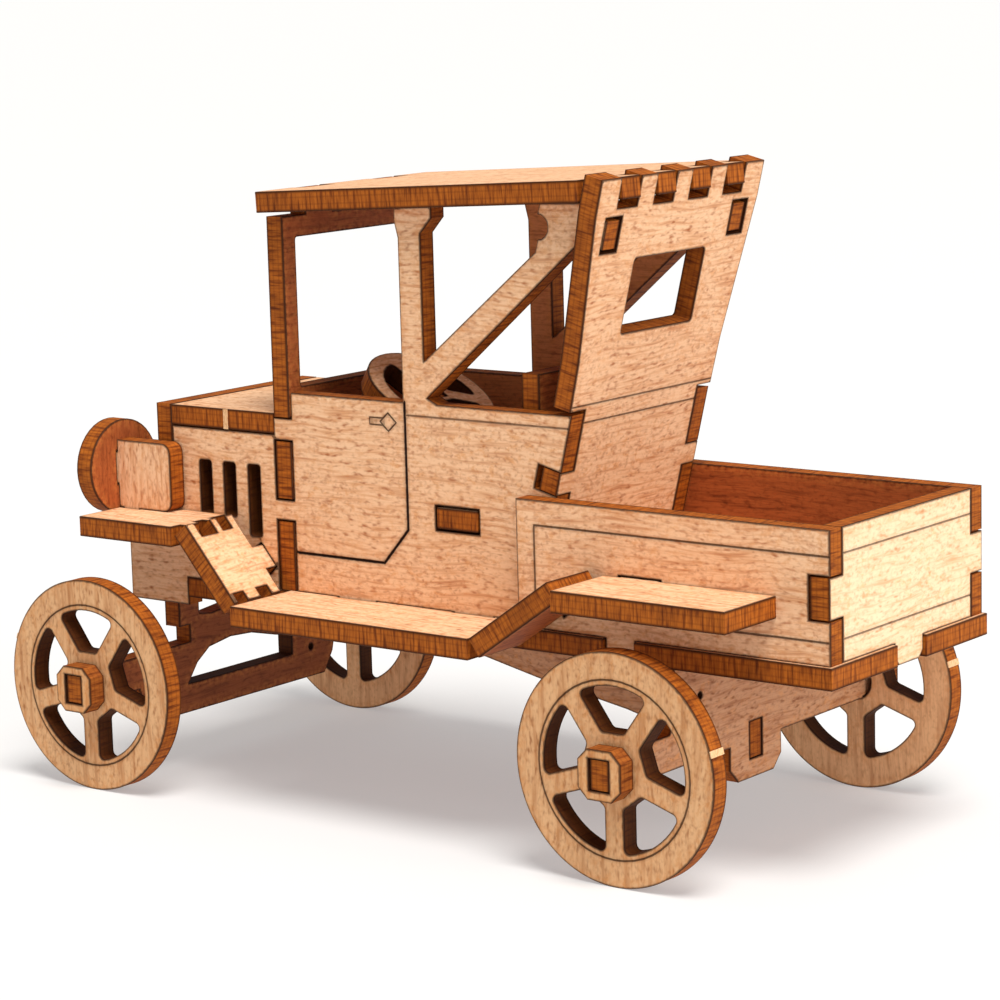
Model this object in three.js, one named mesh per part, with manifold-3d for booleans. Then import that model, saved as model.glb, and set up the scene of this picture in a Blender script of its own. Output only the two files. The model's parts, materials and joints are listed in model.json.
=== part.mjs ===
// Slot-together plywood pickup truck: flat laser-cut sheets that lock with tabs, slots and finger
// joints. Millimetres. +X is the bonnet end, +Y the truck's left, +Z up, wheels standing on Z = 0.
import * as THREE from "three";
import { mergeVertices } from "three/addons/utils/BufferGeometryUtils.js";
import Module from "manifold-3d";

const wasm = await Module();
wasm.setup();

// ---------------------------------------------------------------- sheet and fit
const T = 3.0; // ply thickness of every sheet
const KERF = 0.12; // burnt-away clearance between a tab and its slot, per side
const ROUND_STEPS = 8; // segments in a quarter turn of a rounded corner

// ---------------------------------------------------------------- chassis
const WHEEL_R = 15.7;
const FRONT_AXLE_X = 53.1;
const REAR_AXLE_X = -41.5;
const DECK_Z = 27.0; // underside of the deck
const DECK_TOP = DECK_Z + T;
const DECK_FRONT = 57.6;
const DECK_REAR = -67.7;
const DECK_HALF = 20.0; // under the load bed
const DECK_NOSE_HALF = 13.3; // between the front horns
const HORN_BACK = 46.4;
const BOARD_HALF = 29.5; // outer edge of the running boards
const BOARD_FRONT = 26.3;
const BOARD_REAR = -16.4;

// ---------------------------------------------------------------- body
const BODY_HALF = 16.5; // outer face of the body sides
const BODY_IN = BODY_HALF - T;
const BELT_Z = 59.0;
const BONNET_SIDE_Z = 52.7;
const SCREEN_X = 25.0; // rear face of the windscreen frame
const SCREEN_TOP = 84.2;
const RADIATOR_X = 48.3; // rear face of the radiator sheet
const RADIATOR_TOP = 55.9;
const BACK_FOOT_X = -17.7; // where the rear face of the leaning cab back meets the deck top
const BACK_LEAN = Math.atan(0.253);
const ROOF_REAR_TOP = [-30.1, 90.9];
const ROOF_FRONT_TOP = [27.55, 87.9];
const ROOF_HALF = 19.35;

// ---------------------------------------------------------------- load bed
const BED_IN = BODY_HALF; // inner face of the bed sides
const BED_OUT = BED_IN + T;
const BED_FRONT = -17.5;
const BED_REAR = -67.2;
const BED_TOP = 47.7;
const TAILGATE_TAB_HALF = 3.6;

// ---------------------------------------------------------------- fenders and headlights
const FRONT_FENDER_Z = 37.2; // underside of the flat top
const FRONT_FENDER_HALF = 28.3; // outer edge of the front fenders
const FRONT_FENDER_REAR = 38.3;
const FRONT_FENDER_FRONT = 56.6;
const REAR_FENDER_Z = 35.5;
const REAR_FENDER_HALF = 31.4; // outer edge of the flat rear tops, over the wheels
const REAR_FENDER_FRONT = -31.9;
const REAR_FENDER_REAR = -59.1;
const LAMP_R = 7.1;
const LAMP_Y = 18.2;
const LAMP_Z = 46.2;

// ---------------------------------------------------------------- axles and wheels
const SHOULDER_Y = 28.2; // inner stop of each wheel
const WHEEL_IN = 28.5; // inner face of a wheel
const CAP_IN = 31.75;
const TENON_END = CAP_IN + T - 0.25;
const TENON_HALF = 2.0;
const AXLE_Z = WHEEL_R;

// ---------------------------------------------------------------- plywood finishes
const PLY = {
  body: { color: 0xdcb48c, roughness: 0.72 }, // pale face veneer of the cab, bed and fenders
  chassis: { color: 0xcf9f72, roughness: 0.76 }, // shaded veneer of the axles and spine
  wheel: { color: 0xc8945f, roughness: 0.7 },
  cap: { color: 0x9a5f35, roughness: 0.78 }, // browned by the cutting heat
};

/** The plywood finish of a family of sheets, as a material of its own. */
function plywood(family) {
  const material = new THREE.MeshStandardMaterial({ ...PLY[family], metalness: 0 });
  material.name = `plywood_${family}`;
  return material;
}

// ---------------------------------------------------------------- outline helpers
/** A closed outline from corner points. */
function outline(points) {
  const shape = new THREE.Shape();
  points.forEach(([a, b], i) => (i ? shape.lineTo(a, b) : shape.moveTo(a, b)));
  shape.closePath();
  return shape;
}

/** Axis-aligned rectangle as corner points. */
function rect(a0, a1, b0, b1) {
  return [[a0, b0], [a1, b0], [a1, b1], [a0, b1]];
}

/** Rounds the corners of an outline; `skip` names the corners, by index, that stay sharp. */
function rounded(points, radius, skip = () => false) {
  const out = [];
  const n = points.length;
  for (let i = 0; i < n; i += 1) {
    if (skip(i)) {
      out.push(points[i]);
      continue;
    }
    const corner = new THREE.Vector2(...points[i]);
    const before = new THREE.Vector2(...points[(i + n - 1) % n]).sub(corner);
    const after = new THREE.Vector2(...points[(i + 1) % n]).sub(corner);
    const half = Math.abs(before.angleTo(after)) / 2;
    const reach = Math.min(radius / Math.tan(half), before.length() / 2.1, after.length() / 2.1);
    const start = corner.clone().addScaledVector(before.normalize(), reach);
    const end = corner.clone().addScaledVector(after.normalize(), reach);
    for (let k = 0; k <= ROUND_STEPS; k += 1) {
      const s = k / ROUND_STEPS;
      const p = start.clone().multiplyScalar((1 - s) ** 2);
      p.addScaledVector(corner, 2 * s * (1 - s));
      p.addScaledVector(end, s * s);
      out.push([p.x, p.y]);
    }
  }
  return out;
}

/** Points on a circle; a partial turn gives an arc. */
function arc(cx, cy, r, from, to, steps) {
  return Array.from({ length: steps + 1 }, (_, i) => {
    const t = from + ((to - from) * i) / steps;
    return [cx + r * Math.cos(t), cy + r * Math.sin(t)];
  });
}

/** Full circle as corner points. */
function circle(cx, cy, r, steps = 24) {
  return arc(cx, cy, r, 0, 2 * Math.PI, steps).slice(0, steps);
}

/** Mirror image across the second axis, so that (a, b) becomes (-a, b). */
const flipFirst = (points) => points.map(([a, b]) => [-a, b]).reverse();

/** Mirror image across the first axis, so that (a, b) becomes (a, -b). */
const flipSecond = (points) => points.map(([a, b]) => [a, -b]).reverse();

/** Completes a half outline, drawn on the positive side, with its mirror image. */
const mirrored = (half) => [...half, ...flipFirst(half.filter(([a]) => a > 0))];
const mirroredSecond = (half) => [...half, ...flipSecond(half.filter(([, b]) => b > 0))];

// ---------------------------------------------------------------- sheet builders
const AXIS_X = new THREE.Vector3(1, 0, 0);
const AXIS_Y = new THREE.Vector3(0, 1, 0);
const AXIS_Z = new THREE.Vector3(0, 0, 1);

/** An outline thickened along its third axis, as a solid that can be cut. */
function slab(points, from, depth) {
  const extruded = new THREE.ExtrudeGeometry(outline(points), { depth, bevelEnabled: false });
  extruded.translate(0, 0, from);
  extruded.deleteAttribute("normal");
  extruded.deleteAttribute("uv");
  const merged = mergeVertices(extruded, 1e-4);
  const vertProperties = merged.attributes.position.array;
  const triVerts = new Uint32Array(merged.index.array);
  return new wasm.Manifold(new wasm.Mesh({ numProp: 3, vertProperties, triVerts }));
}

/** A solid as flat-shaded geometry. */
function faceted(solid) {
  const { vertProperties, triVerts } = solid.getMesh();
  const geometry = new THREE.BufferGeometry();
  geometry.setAttribute("position", new THREE.BufferAttribute(vertProperties, 3));
  geometry.setIndex(new THREE.BufferAttribute(triVerts, 1));
  const flatShaded = geometry.toNonIndexed();
  flatShaded.computeVertexNormals();
  return flatShaded;
}

/** Family of plywood that a sheet is cut from, read from its name. */
function familyOf(name) {
  if (name.startsWith("wheel")) return "wheel";
  if (name.startsWith("hub_cap")) return "cap";
  return /axle|spine/.test(name) ? "chassis" : "body";
}

/** One sheet: an outline in the plane (u, v), thickened by T along u x v from an origin. */
function sheet(name, points, holes, origin, u, v) {
  const drilled = (solid, hole) => solid.subtract(slab(hole, -1, T + 2));
  const geometry = faceted(holes.reduce(drilled, slab(points, 0, T)));
  const n = new THREE.Vector3().crossVectors(u, v);
  geometry.applyMatrix4(new THREE.Matrix4().makeBasis(u, v, n).setPosition(origin));
  const mesh = new THREE.Mesh(geometry, plywood(familyOf(name)));
  mesh.name = name;
  return mesh;
}

/** Sheet lying flat; outline in (x, y). */
function flat(name, z, points, holes = []) {
  return sheet(name, points, holes, new THREE.Vector3(0, 0, z), AXIS_X, AXIS_Y);
}

/** Sheet across the truck; outline in (y, z). */
function cross(name, x, points, holes = []) {
  return sheet(name, points, holes, new THREE.Vector3(x, 0, 0), AXIS_Y, AXIS_Z);
}

/** Sheet along the truck between y and y + T; outline in (x, z). */
function along(name, y, points, holes = []) {
  return sheet(name, points, holes, new THREE.Vector3(0, y + T, 0), AXIS_X, AXIS_Z);
}

/** The left sheet and its mirror twin on the right, both along the truck. */
function alongPair(name, y, points, holes = []) {
  return [along(`${name}_left`, y, points, holes), along(`${name}_right`, -y - T, points, holes)];
}

/** The left sheet and its mirror twin, both lying flat. */
function flatPair(name, z, points, holes = []) {
  return [
    flat(`${name}_left`, z, points, holes),
    flat(`${name}_right`, z, flipSecond(points), holes.map(flipSecond)),
  ];
}

// ---------------------------------------------------------------- the leaning cab back
const BACK_UP = new THREE.Vector2(-Math.sin(BACK_LEAN), Math.cos(BACK_LEAN));
const BACK_IN = new THREE.Vector2(Math.cos(BACK_LEAN), Math.sin(BACK_LEAN));

/** Distance up the leaning sheet at which its rear face reaches height z. */
const upBack = (z) => (z - DECK_TOP) / Math.cos(BACK_LEAN);

/** Point (x, z) a distance up the cab back and a depth in from its rear face. */
function backPoint(up, depth) {
  const p = new THREE.Vector2(BACK_FOOT_X, DECK_TOP);
  p.addScaledVector(BACK_UP, up).addScaledVector(BACK_IN, depth);
  return [p.x, p.y];
}

const BACK_FINGER = [upBack(47.9), upBack(51.0)]; // finger through each body side
const BACK_SLOT = [upBack(80.9), upBack(85.7)]; // slot for each pillar tab
const BACK_TOP = upBack(90.9);
const COMB_DEPTH = 4.2;
const COMB_Y = [-12.5, -4.15, 4.15, 12.5];
const COMB_HALF = 2.3;

function cabBack() {
  const lowIn = BODY_IN - KERF;
  const waist = upBack(BELT_Z + 0.45);
  const half = [[0, 0], [lowIn, 0], [lowIn, BACK_FINGER[0]], [BODY_HALF, BACK_FINGER[0]]];
  half.push([BODY_HALF, BACK_FINGER[1]], [lowIn, BACK_FINGER[1]], [lowIn, waist]);
  half.push([16.8, waist], [17.0, upBack(66)], [19.35, upBack(86)], [19.35, BACK_TOP]);
  for (const y of [...COMB_Y].reverse().filter((c) => c > 0)) {
    const floor = BACK_TOP - COMB_DEPTH;
    half.push([y + COMB_HALF, BACK_TOP], [y + COMB_HALF, floor]);
    half.push([y - COMB_HALF, floor], [y - COMB_HALF, BACK_TOP]);
  }
  const window = rounded(rect(-8.4, 8.4, upBack(69.3), upBack(79.6)), 0.6);
  const slot = rect(BODY_IN - 0.35, BODY_HALF + 0.45, ...BACK_SLOT);
  const origin = new THREE.Vector3(BACK_FOOT_X, 0, DECK_TOP);
  const up = new THREE.Vector3(BACK_UP.x, 0, BACK_UP.y);
  const holes = [window, slot, flipFirst(slot)];
  return sheet("cab_back", mirrored(half), holes, origin, AXIS_Y, up);
}

// ---------------------------------------------------------------- the sloping roof
const ROOF_RUN = ROOF_FRONT_TOP[0] - ROOF_REAR_TOP[0];
const ROOF_SLOPE = Math.atan((ROOF_REAR_TOP[1] - ROOF_FRONT_TOP[1]) / ROOF_RUN);

/** Height of the roof underside above a point x. */
function roofUnder(x) {
  const top = ROOF_FRONT_TOP[1] + (ROOF_FRONT_TOP[0] - x) * Math.tan(ROOF_SLOPE);
  return top - T / Math.cos(ROOF_SLOPE);
}

const SCREEN_TAB_Y = 8.5; // centre of each tab that locks the windscreen frame in the roof
const SCREEN_TAB_HALF = 3.0;

function roof() {
  const alongRoof = new THREE.Vector3(Math.cos(ROOF_SLOPE), 0, -Math.sin(ROOF_SLOPE));
  const origin = new THREE.Vector3(ROOF_REAR_TOP[0], 0, ROOF_REAR_TOP[1]);
  origin.addScaledVector(new THREE.Vector3(Math.sin(ROOF_SLOPE), 0, Math.cos(ROOF_SLOPE)), -T);
  const rear = 1.25;
  const tabEnd = -2.6;
  const front = ROOF_RUN / Math.cos(ROOF_SLOPE);
  const notch = SCREEN_X - 0.3 - ROOF_REAR_TOP[0];
  const points = [];
  for (const y of COMB_Y) {
    const reach = COMB_HALF - 0.2;
    points.push([rear, y - reach], [tabEnd, y - reach], [tabEnd, y + reach], [rear, y + reach]);
  }
  points.unshift([rear, -ROOF_HALF]);
  points.push([rear, ROOF_HALF], [front, ROOF_HALF]);
  for (const y of [SCREEN_TAB_Y, -SCREEN_TAB_Y]) {
    const reach = SCREEN_TAB_HALF + KERF;
    points.push([front, y + reach], [notch, y + reach], [notch, y - reach], [front, y - reach]);
  }
  points.push([front, -ROOF_HALF]);
  return sheet("roof", points, [], origin, alongRoof, AXIS_Y);
}

// ---------------------------------------------------------------- sloping fender sheets
/** Frame of a sloping fender sheet from its lower to its upper outer edge, both as (x, z). */
function slopeFrame(low, high) {
  const from = new THREE.Vector2(...low);
  const up = new THREE.Vector2(...high).sub(from);
  const length = up.length();
  up.normalize();
  const inward = new THREE.Vector2(up.y, -up.x);
  /** Point (x, z) a distance up the slope and a depth in from its first face. */
  const at = (s, depth) => {
    const p = from.clone().addScaledVector(up, s).addScaledVector(inward, depth);
    return [p.x, p.y];
  };
  return { from, up, inward, length, at };
}

const FRONT_SLOPE = slopeFrame([26.35, 30.25], [35.35, 40.8]);
const REAR_SLOPE = slopeFrame([-18.35, 27.6], [-31.6, 36.65]);
const FRONT_SLOPE_TAB = [4.0, 8.0]; // span up the slope of the tab in the body side
const REAR_SLOPE_TAB = [8.4, 13.4];

/** Hole in a side sheet for the tab of a sloping sheet. */
function slopeSlot(slope, [s0, s1]) {
  const gap = KERF + 0.08;
  const corners = [[s0 - gap, -gap], [s1 + gap, -gap], [s1 + gap, T + gap], [s0 - gap, T + gap]];
  return corners.map(([s, depth]) => slope.at(s, depth));
}

/** Left and right sloping sheets; outline in (y, distance up the slope). */
function slopePair(name, slope, points, holes = []) {
  const up = new THREE.Vector3(slope.up.x, 0, slope.up.y);
  const origin = new THREE.Vector3(slope.from.x, 0, slope.from.y);
  return [
    sheet(`${name}_left`, points, holes, origin, AXIS_Y, up),
    sheet(`${name}_right`, flipFirst(points), holes.map(flipFirst), origin, AXIS_Y, up),
  ];
}

function frontSlopes() {
  const inner = 18.4;
  const top = FRONT_SLOPE.length;
  const notch = (y0, y1, s0, s1) => [[y0, s0], [y0, s1], [y1, s1], [y1, s0]];
  const points = [[inner, 0], ...notch(20.3, 22.7, 0, 1.5), ...notch(25.4, 27.6, 0, 1.5)];
  points.push([FRONT_FENDER_HALF, 0], [FRONT_FENDER_HALF, top]);
  points.push(...notch(26.6, 23.2, top, top - 2.4), ...notch(21.9, 19.9, top, top - 2.2));
  points.push([inner, top], [inner, FRONT_SLOPE_TAB[1]], [BODY_IN + 0.1, FRONT_SLOPE_TAB[1]]);
  points.push([BODY_IN + 0.1, FRONT_SLOPE_TAB[0]], [inner, FRONT_SLOPE_TAB[0]]);
  return slopePair("front_fender_slope", FRONT_SLOPE, points);
}

function rearSlopes() {
  const inner = DECK_HALF + 0.15;
  const points = [[inner, 0], [BOARD_HALF, 0], [BOARD_HALF, REAR_SLOPE.length]];
  points.push([inner, REAR_SLOPE.length], [inner, REAR_SLOPE_TAB[1]]);
  points.push([BED_IN + 0.1, REAR_SLOPE_TAB[1]], [BED_IN + 0.1, REAR_SLOPE_TAB[0]]);
  points.push([inner, REAR_SLOPE_TAB[0]]);
  return slopePair("rear_fender_slope", REAR_SLOPE, points);
}

// ---------------------------------------------------------------- body sheets
const SCREEN_FINGERS = [[DECK_TOP + 0.05, 40.1], [43.5, 51.8]]; // fingers through each body side
const SCREEN_TAB = 6.0; // half width of the tab through the deck
const RADIATOR_TAB = 5.0;
const RADIATOR_LAP = 43.9; // the radiator sheet is full width above this height
const BONNET_TAB = 6.0;
const BONNET_Z = BONNET_SIDE_Z + 0.15;
const SEAT_Z = 41.6; // underside of the seat base
const SEAT_TAB = [-8.6, -1.5];
const SEAT_REAR = -17.4;
const SEAT_FRONT = -0.4;
const SEAT_NOTCH_HALF = 5.1; // notch that takes the tongue of the seat back
const SEAT_TOP = 63.8;
const LOUVRES = [[32.4, 37.4], [37.2, 40.0], [41.9, 40.0]]; // centre line and foot of each louvre
const LOUVRE_TOP = 48.0;
const LOUVRE_HALF = 1.15;
const POST = [0.1, 4.1]; // upright pillar, rear and front edge
const SIDE_TABS = [[10.0, 17.0], [-11.0, -4.0]]; // tabs of each body side through the deck

/** One body side: bonnet side, door, cab side and the V-shaped pillar in a single sheet. */
function bodySides() {
  const gap = KERF + 0.1;
  const lap = 3.1 + KERF;
  const seam = (x) => [x, roofUnder(x) - 0.02];
  const radiatorFront = RADIATOR_X + T;
  const points = [[HORN_BACK, DECK_TOP], [HORN_BACK, 25.8], [58.0, 25.8]];
  points.push([58.0, FRONT_FENDER_Z], [radiatorFront, FRONT_FENDER_Z]);
  points.push([radiatorFront, RADIATOR_LAP - gap], [RADIATOR_X - KERF, RADIATOR_LAP - gap]);
  points.push([RADIATOR_X - KERF, BONNET_SIDE_Z], [SCREEN_X + T + gap, BONNET_SIDE_Z]);
  points.push([SCREEN_X + T + gap, 55.2], [SCREEN_X - gap, 55.2], [SCREEN_X - gap, BELT_Z]);
  points.push([POST[1], BELT_Z], [POST[1], 81.9], [4.7, 84.2], seam(4.7), seam(-1.9));
  points.push([-1.9, 84.8], [POST[0], 82.6], [POST[0], 64.9], [-19.6, 80.8]);
  points.push(...arc(-20.1, 84.2, 1.7, -Math.PI / 2, -1.5 * Math.PI, 8)); // finger scallop
  points.push(seam(-20.6));
  points.push(backPoint(upBack(roofUnder(-28.6)) - 1.0, lap));
  points.push(backPoint(BACK_SLOT[1] - 0.5, lap), backPoint(BACK_SLOT[1] - 0.5, 0.1));
  points.push(backPoint(BACK_SLOT[0] + 0.5, 0.1), backPoint(BACK_SLOT[0] + 0.5, lap));
  points.push(backPoint(upBack(82.2), lap), [-0.3, 59.8], [-2.0, BELT_Z]);
  points.push(backPoint(upBack(BELT_Z), 0));
  const finger = [BACK_FINGER[0] - KERF, BACK_FINGER[1] + KERF];
  points.push(backPoint(finger[1], 0), backPoint(finger[1], lap + 0.6));
  points.push(backPoint(finger[0], lap + 0.6), backPoint(finger[0], 0));
  points.push([BACK_FOOT_X, DECK_TOP]);
  for (const [x0, x1] of [...SIDE_TABS].reverse()) {
    points.push([x0, DECK_TOP], [x0, DECK_Z], [x1, DECK_Z], [x1, DECK_TOP]);
  }
  const [footFinger, midFinger] = SCREEN_FINGERS;
  points.push([SCREEN_X - gap, DECK_TOP], [SCREEN_X - gap, footFinger[1] + gap]);
  points.push([SCREEN_X + T + gap, footFinger[1] + gap], [SCREEN_X + T + gap, DECK_TOP]);
  const holes = [
    rect(SCREEN_X - gap, SCREEN_X + T + gap, midFinger[0] - gap, midFinger[1] + gap),
    rect(SEAT_TAB[0] - 0.3, SEAT_TAB[1] + 0.3, SEAT_Z - 0.3, SEAT_Z + T + 0.3),
    slopeSlot(FRONT_SLOPE, FRONT_SLOPE_TAB),
    ...LOUVRES.map(([x, foot]) => (
      rounded(rect(x - LOUVRE_HALF, x + LOUVRE_HALF, foot, LOUVRE_TOP), 0.5)
    )),
  ];
  return alongPair("body_side", BODY_IN, points, holes);
}

function radiator() {
  const slim = BODY_IN - KERF;
  const half = [[0, DECK_Z], [RADIATOR_TAB, DECK_Z], [RADIATOR_TAB, DECK_TOP + 0.05]];
  half.push([slim, DECK_TOP + 0.05], [slim, RADIATOR_LAP], [BODY_HALF, RADIATOR_LAP]);
  half.push([BODY_HALF, RADIATOR_TOP], [0, RADIATOR_TOP]);
  return cross("radiator_plate", RADIATOR_X, mirrored(half));
}

function bonnetTop() {
  const rear = SCREEN_X + T + 0.25;
  const front = RADIATOR_X - 0.1;
  const half = [[rear - T, 0], [rear - T, BONNET_TAB], [rear, BONNET_TAB]];
  half.push([rear, BODY_HALF], [front, BODY_HALF], [front, 0]);
  return flat("bonnet_top", BONNET_Z, mirroredSecond(half));
}

const COLUMN_Y = 2.6; // centre plane of the steering column
const COLUMN_TILT = Math.PI / 3;
const STEERING_HUB = [9.9, 58.5]; // (x, z) of the rear face of the steering wheel at its centre
const COLUMN_TAB = [32.4, 35.6]; // heights of the column tab in the windscreen frame

function windscreenFrame() {
  const slim = BODY_IN - KERF;
  const half = [[0, DECK_Z], [SCREEN_TAB, DECK_Z], [SCREEN_TAB, DECK_TOP + 0.05]];
  for (const [z0, z1] of SCREEN_FINGERS) {
    half.push([BODY_HALF, z0], [BODY_HALF, z1], [slim, z1]);
    half.push([slim, z1 === SCREEN_FINGERS[0][1] ? SCREEN_FINGERS[1][0] : 55.4]);
  }
  half.push([16.7, 55.4], [16.7, SCREEN_TOP]);
  half.push([SCREEN_TAB_Y + SCREEN_TAB_HALF, SCREEN_TOP], [SCREEN_TAB_Y + SCREEN_TAB_HALF, 87.8]);
  half.push([SCREEN_TAB_Y - SCREEN_TAB_HALF, 87.8], [SCREEN_TAB_Y - SCREEN_TAB_HALF, SCREEN_TOP]);
  const opening = rounded(rect(-13.9, 13.9, 59.6, 81.1), 0.5);
  const gap = KERF + 0.05;
  const bonnet = rect(-BONNET_TAB - gap, BONNET_TAB + gap, BONNET_Z - gap, BONNET_Z + T + gap);
  const reach = T / 2 + gap;
  const column = rect(COLUMN_Y - reach, COLUMN_Y + reach, COLUMN_TAB[0] - gap, COLUMN_TAB[1] + gap);
  return cross("windscreen_frame", SCREEN_X, mirrored(half), [opening, bonnet, column]);
}

function seat() {
  const side = BODY_IN - 0.15;
  const half = [[SEAT_REAR, side], [SEAT_TAB[0], side], [SEAT_TAB[0], BODY_HALF]];
  half.push([SEAT_TAB[1], BODY_HALF], [SEAT_TAB[1], side], [SEAT_FRONT, side]);
  const notchFront = SEAT_REAR + T + KERF;
  const notched = [[notchFront, SEAT_NOTCH_HALF], [SEAT_REAR, SEAT_NOTCH_HALF], ...half];
  const base = flat("seat_base", SEAT_Z, mirroredSecond(notched));
  const tongue = SEAT_NOTCH_HALF - KERF;
  const cushion = SEAT_Z + T + 0.02;
  const back = [[0, SEAT_Z], [tongue, SEAT_Z], [tongue, cushion], [side, cushion]];
  back.push([side, SEAT_TOP], [0, SEAT_TOP]);
  return [base, cross("seat_back", SEAT_REAR, mirrored(back))];
}

function steering() {
  const tilt = new THREE.Vector2(Math.cos(COLUMN_TILT), -Math.sin(COLUMN_TILT));
  const lift = new THREE.Vector2(Math.sin(COLUMN_TILT), Math.cos(COLUMN_TILT));
  const at = (s, h) => {
    const p = new THREE.Vector2(...STEERING_HUB).addScaledVector(tilt, s).addScaledVector(lift, h);
    return [p.x, p.y];
  };
  const shoulder = T + 0.1;
  const wide = 2.4; // half depth of the column below its tenon
  const wall = SCREEN_X - 0.1;
  const meet = (wall - STEERING_HUB[0] - wide * lift.x) / tilt.x;
  const foot = (STEERING_HUB[1] - wide * lift.y - DECK_TOP - 0.2) / -tilt.y;
  const shaft = [at(0.2, T / 2), at(shoulder, T / 2), at(shoulder, wide), at(meet, wide)];
  shaft.push([wall, COLUMN_TAB[1]], [SCREEN_X + T, COLUMN_TAB[1]], [SCREEN_X + T, COLUMN_TAB[0]]);
  shaft.push([wall, COLUMN_TAB[0]], [wall, DECK_TOP + 0.2], at(foot, -wide));
  shaft.push(at(shoulder, -wide), at(shoulder, -T / 2), at(0.2, -T / 2));
  const column = along("steering_column", COLUMN_Y - T / 2, shaft);

  const rim = 9.9;
  const spokes = [0, 1, 2].map((i) => Math.PI / 2 + (i * 2 * Math.PI) / 3);
  const holes = spokes.map((a) => sectorHole(a, a + (2 * Math.PI) / 3, 3.3, rim - 2.5, 1.2, 0.7, 8));
  holes.push(rect(-1.5 - KERF, 1.5 + KERF, -1.5 - KERF, 1.5 + KERF));
  const origin = new THREE.Vector3(STEERING_HUB[0], 0, STEERING_HUB[1]);
  const up = new THREE.Vector3(lift.x, 0, lift.y);
  const wheel = sheet("steering_wheel", circle(0, 0, rim, 48), holes, new THREE.Vector3(), AXIS_Y, up);
  wheel.geometry.translate(origin.x, COLUMN_Y, origin.z);
  return [column, wheel];
}

// ---------------------------------------------------------------- load bed
const BED_TAB = [-36.9, -32.1]; // tab of each bed side through the deck edge
const GATE_FINGER = [36.0, 41.5];
const FENDER_TAB = [-41.0, -34.6];

function loadBed() {
  const gap = KERF + 0.1;
  const latch = BED_REAR + T + gap;
  const side = [[BED_REAR, DECK_TOP], [BED_REAR, GATE_FINGER[0] - gap], [latch, GATE_FINGER[0] - gap]];
  side.push([latch, GATE_FINGER[1] + gap], [BED_REAR, GATE_FINGER[1] + gap], [BED_REAR, BED_TOP]);
  side.push([BED_FRONT, BED_TOP], [BED_FRONT, DECK_TOP], [BED_TAB[1], DECK_TOP]);
  side.push([BED_TAB[1], DECK_Z], [BED_TAB[0], DECK_Z], [BED_TAB[0], DECK_TOP]);
  const level = [REAR_FENDER_Z - gap, REAR_FENDER_Z + T + gap];
  const fender = rect(FENDER_TAB[0] - gap, FENDER_TAB[1] + gap, ...level);
  const holes = [fender, slopeSlot(REAR_SLOPE, REAR_SLOPE_TAB)];
  const foot = [[0, DECK_Z], [TAILGATE_TAB_HALF - 1, DECK_Z], [TAILGATE_TAB_HALF, DECK_Z + 1]];
  const inner = BED_IN - KERF;
  const gate = [...foot, [TAILGATE_TAB_HALF, DECK_TOP + 0.05], [inner, DECK_TOP + 0.05]];
  gate.push([inner, GATE_FINGER[0]], [BED_OUT, GATE_FINGER[0]], [BED_OUT, GATE_FINGER[1]]);
  gate.push([inner, GATE_FINGER[1]], [inner, BED_TOP], [0, BED_TOP]);
  return [...alongPair("bed_side", BED_IN, side, holes), cross("tailgate", BED_REAR, mirrored(gate))];
}

// ---------------------------------------------------------------- deck
const POST_Y = [8.8, 13.2]; // posts of the front axle sheet in the deck edge
const REAR_TAB_Y = [6.0, 12.0]; // tabs of the rear axle sheet through the deck
const SPINE_TABS = [[-13.0, -6.0], [8.0, 15.0]];

function deck() {
  const axle = FRONT_AXLE_X - T / 2;
  const gate = BED_REAR + T + KERF;
  const tab = TAILGATE_TAB_HALF + KERF;
  const half = [[gate, tab], [DECK_REAR, tab], [DECK_REAR, DECK_HALF]];
  half.push([BED_TAB[0] - KERF, DECK_HALF], [BED_TAB[0] - KERF, BED_IN - KERF]);
  half.push([BED_TAB[1] + KERF, BED_IN - KERF], [BED_TAB[1] + KERF, DECK_HALF]);
  half.push([BOARD_REAR, DECK_HALF], [BOARD_REAR, BOARD_HALF], [BOARD_FRONT, BOARD_HALF]);
  half.push([BOARD_FRONT, BODY_HALF], [HORN_BACK - KERF, BODY_HALF]);
  half.push([HORN_BACK - KERF, DECK_NOSE_HALF], [axle - KERF, DECK_NOSE_HALF]);
  half.push([axle - KERF, POST_Y[0] - KERF], [axle + T + KERF, POST_Y[0] - KERF]);
  half.push([axle + T + KERF, DECK_NOSE_HALF], [DECK_FRONT, DECK_NOSE_HALF]);
  const across = (x, y0, y1) => rect(x - KERF, x + T + KERF, y0 - KERF, y1 + KERF);
  const lengthwise = ([x0, x1], y) => rect(x0 - KERF, x1 + KERF, y - KERF, y + T + KERF);
  const rearAxle = across(REAR_AXLE_X - T / 2, ...REAR_TAB_Y);
  const holes = [
    across(SCREEN_X, -SCREEN_TAB, SCREEN_TAB),
    across(RADIATOR_X, -RADIATOR_TAB, RADIATOR_TAB),
    rearAxle,
    flipSecond(rearAxle),
    ...SPINE_TABS.map((span) => lengthwise(span, -T / 2)),
    ...SIDE_TABS.flatMap((span) => [lengthwise(span, BODY_IN), lengthwise(span, -BODY_HALF)]),
  ];
  return flat("deck", DECK_Z, mirroredSecond(half), holes);
}

// ---------------------------------------------------------------- fenders and headlights
const BRACKET_IN = LAMP_Y - T / 2;
const BRACKET_TAB = [52.6, 55.8];
const BRACKET_REAR = 46.1;
const BRACKET_TOP = 50.4;
const LAMP_TAB = [LAMP_Z - 2.4, LAMP_Z + 2.4];

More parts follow.
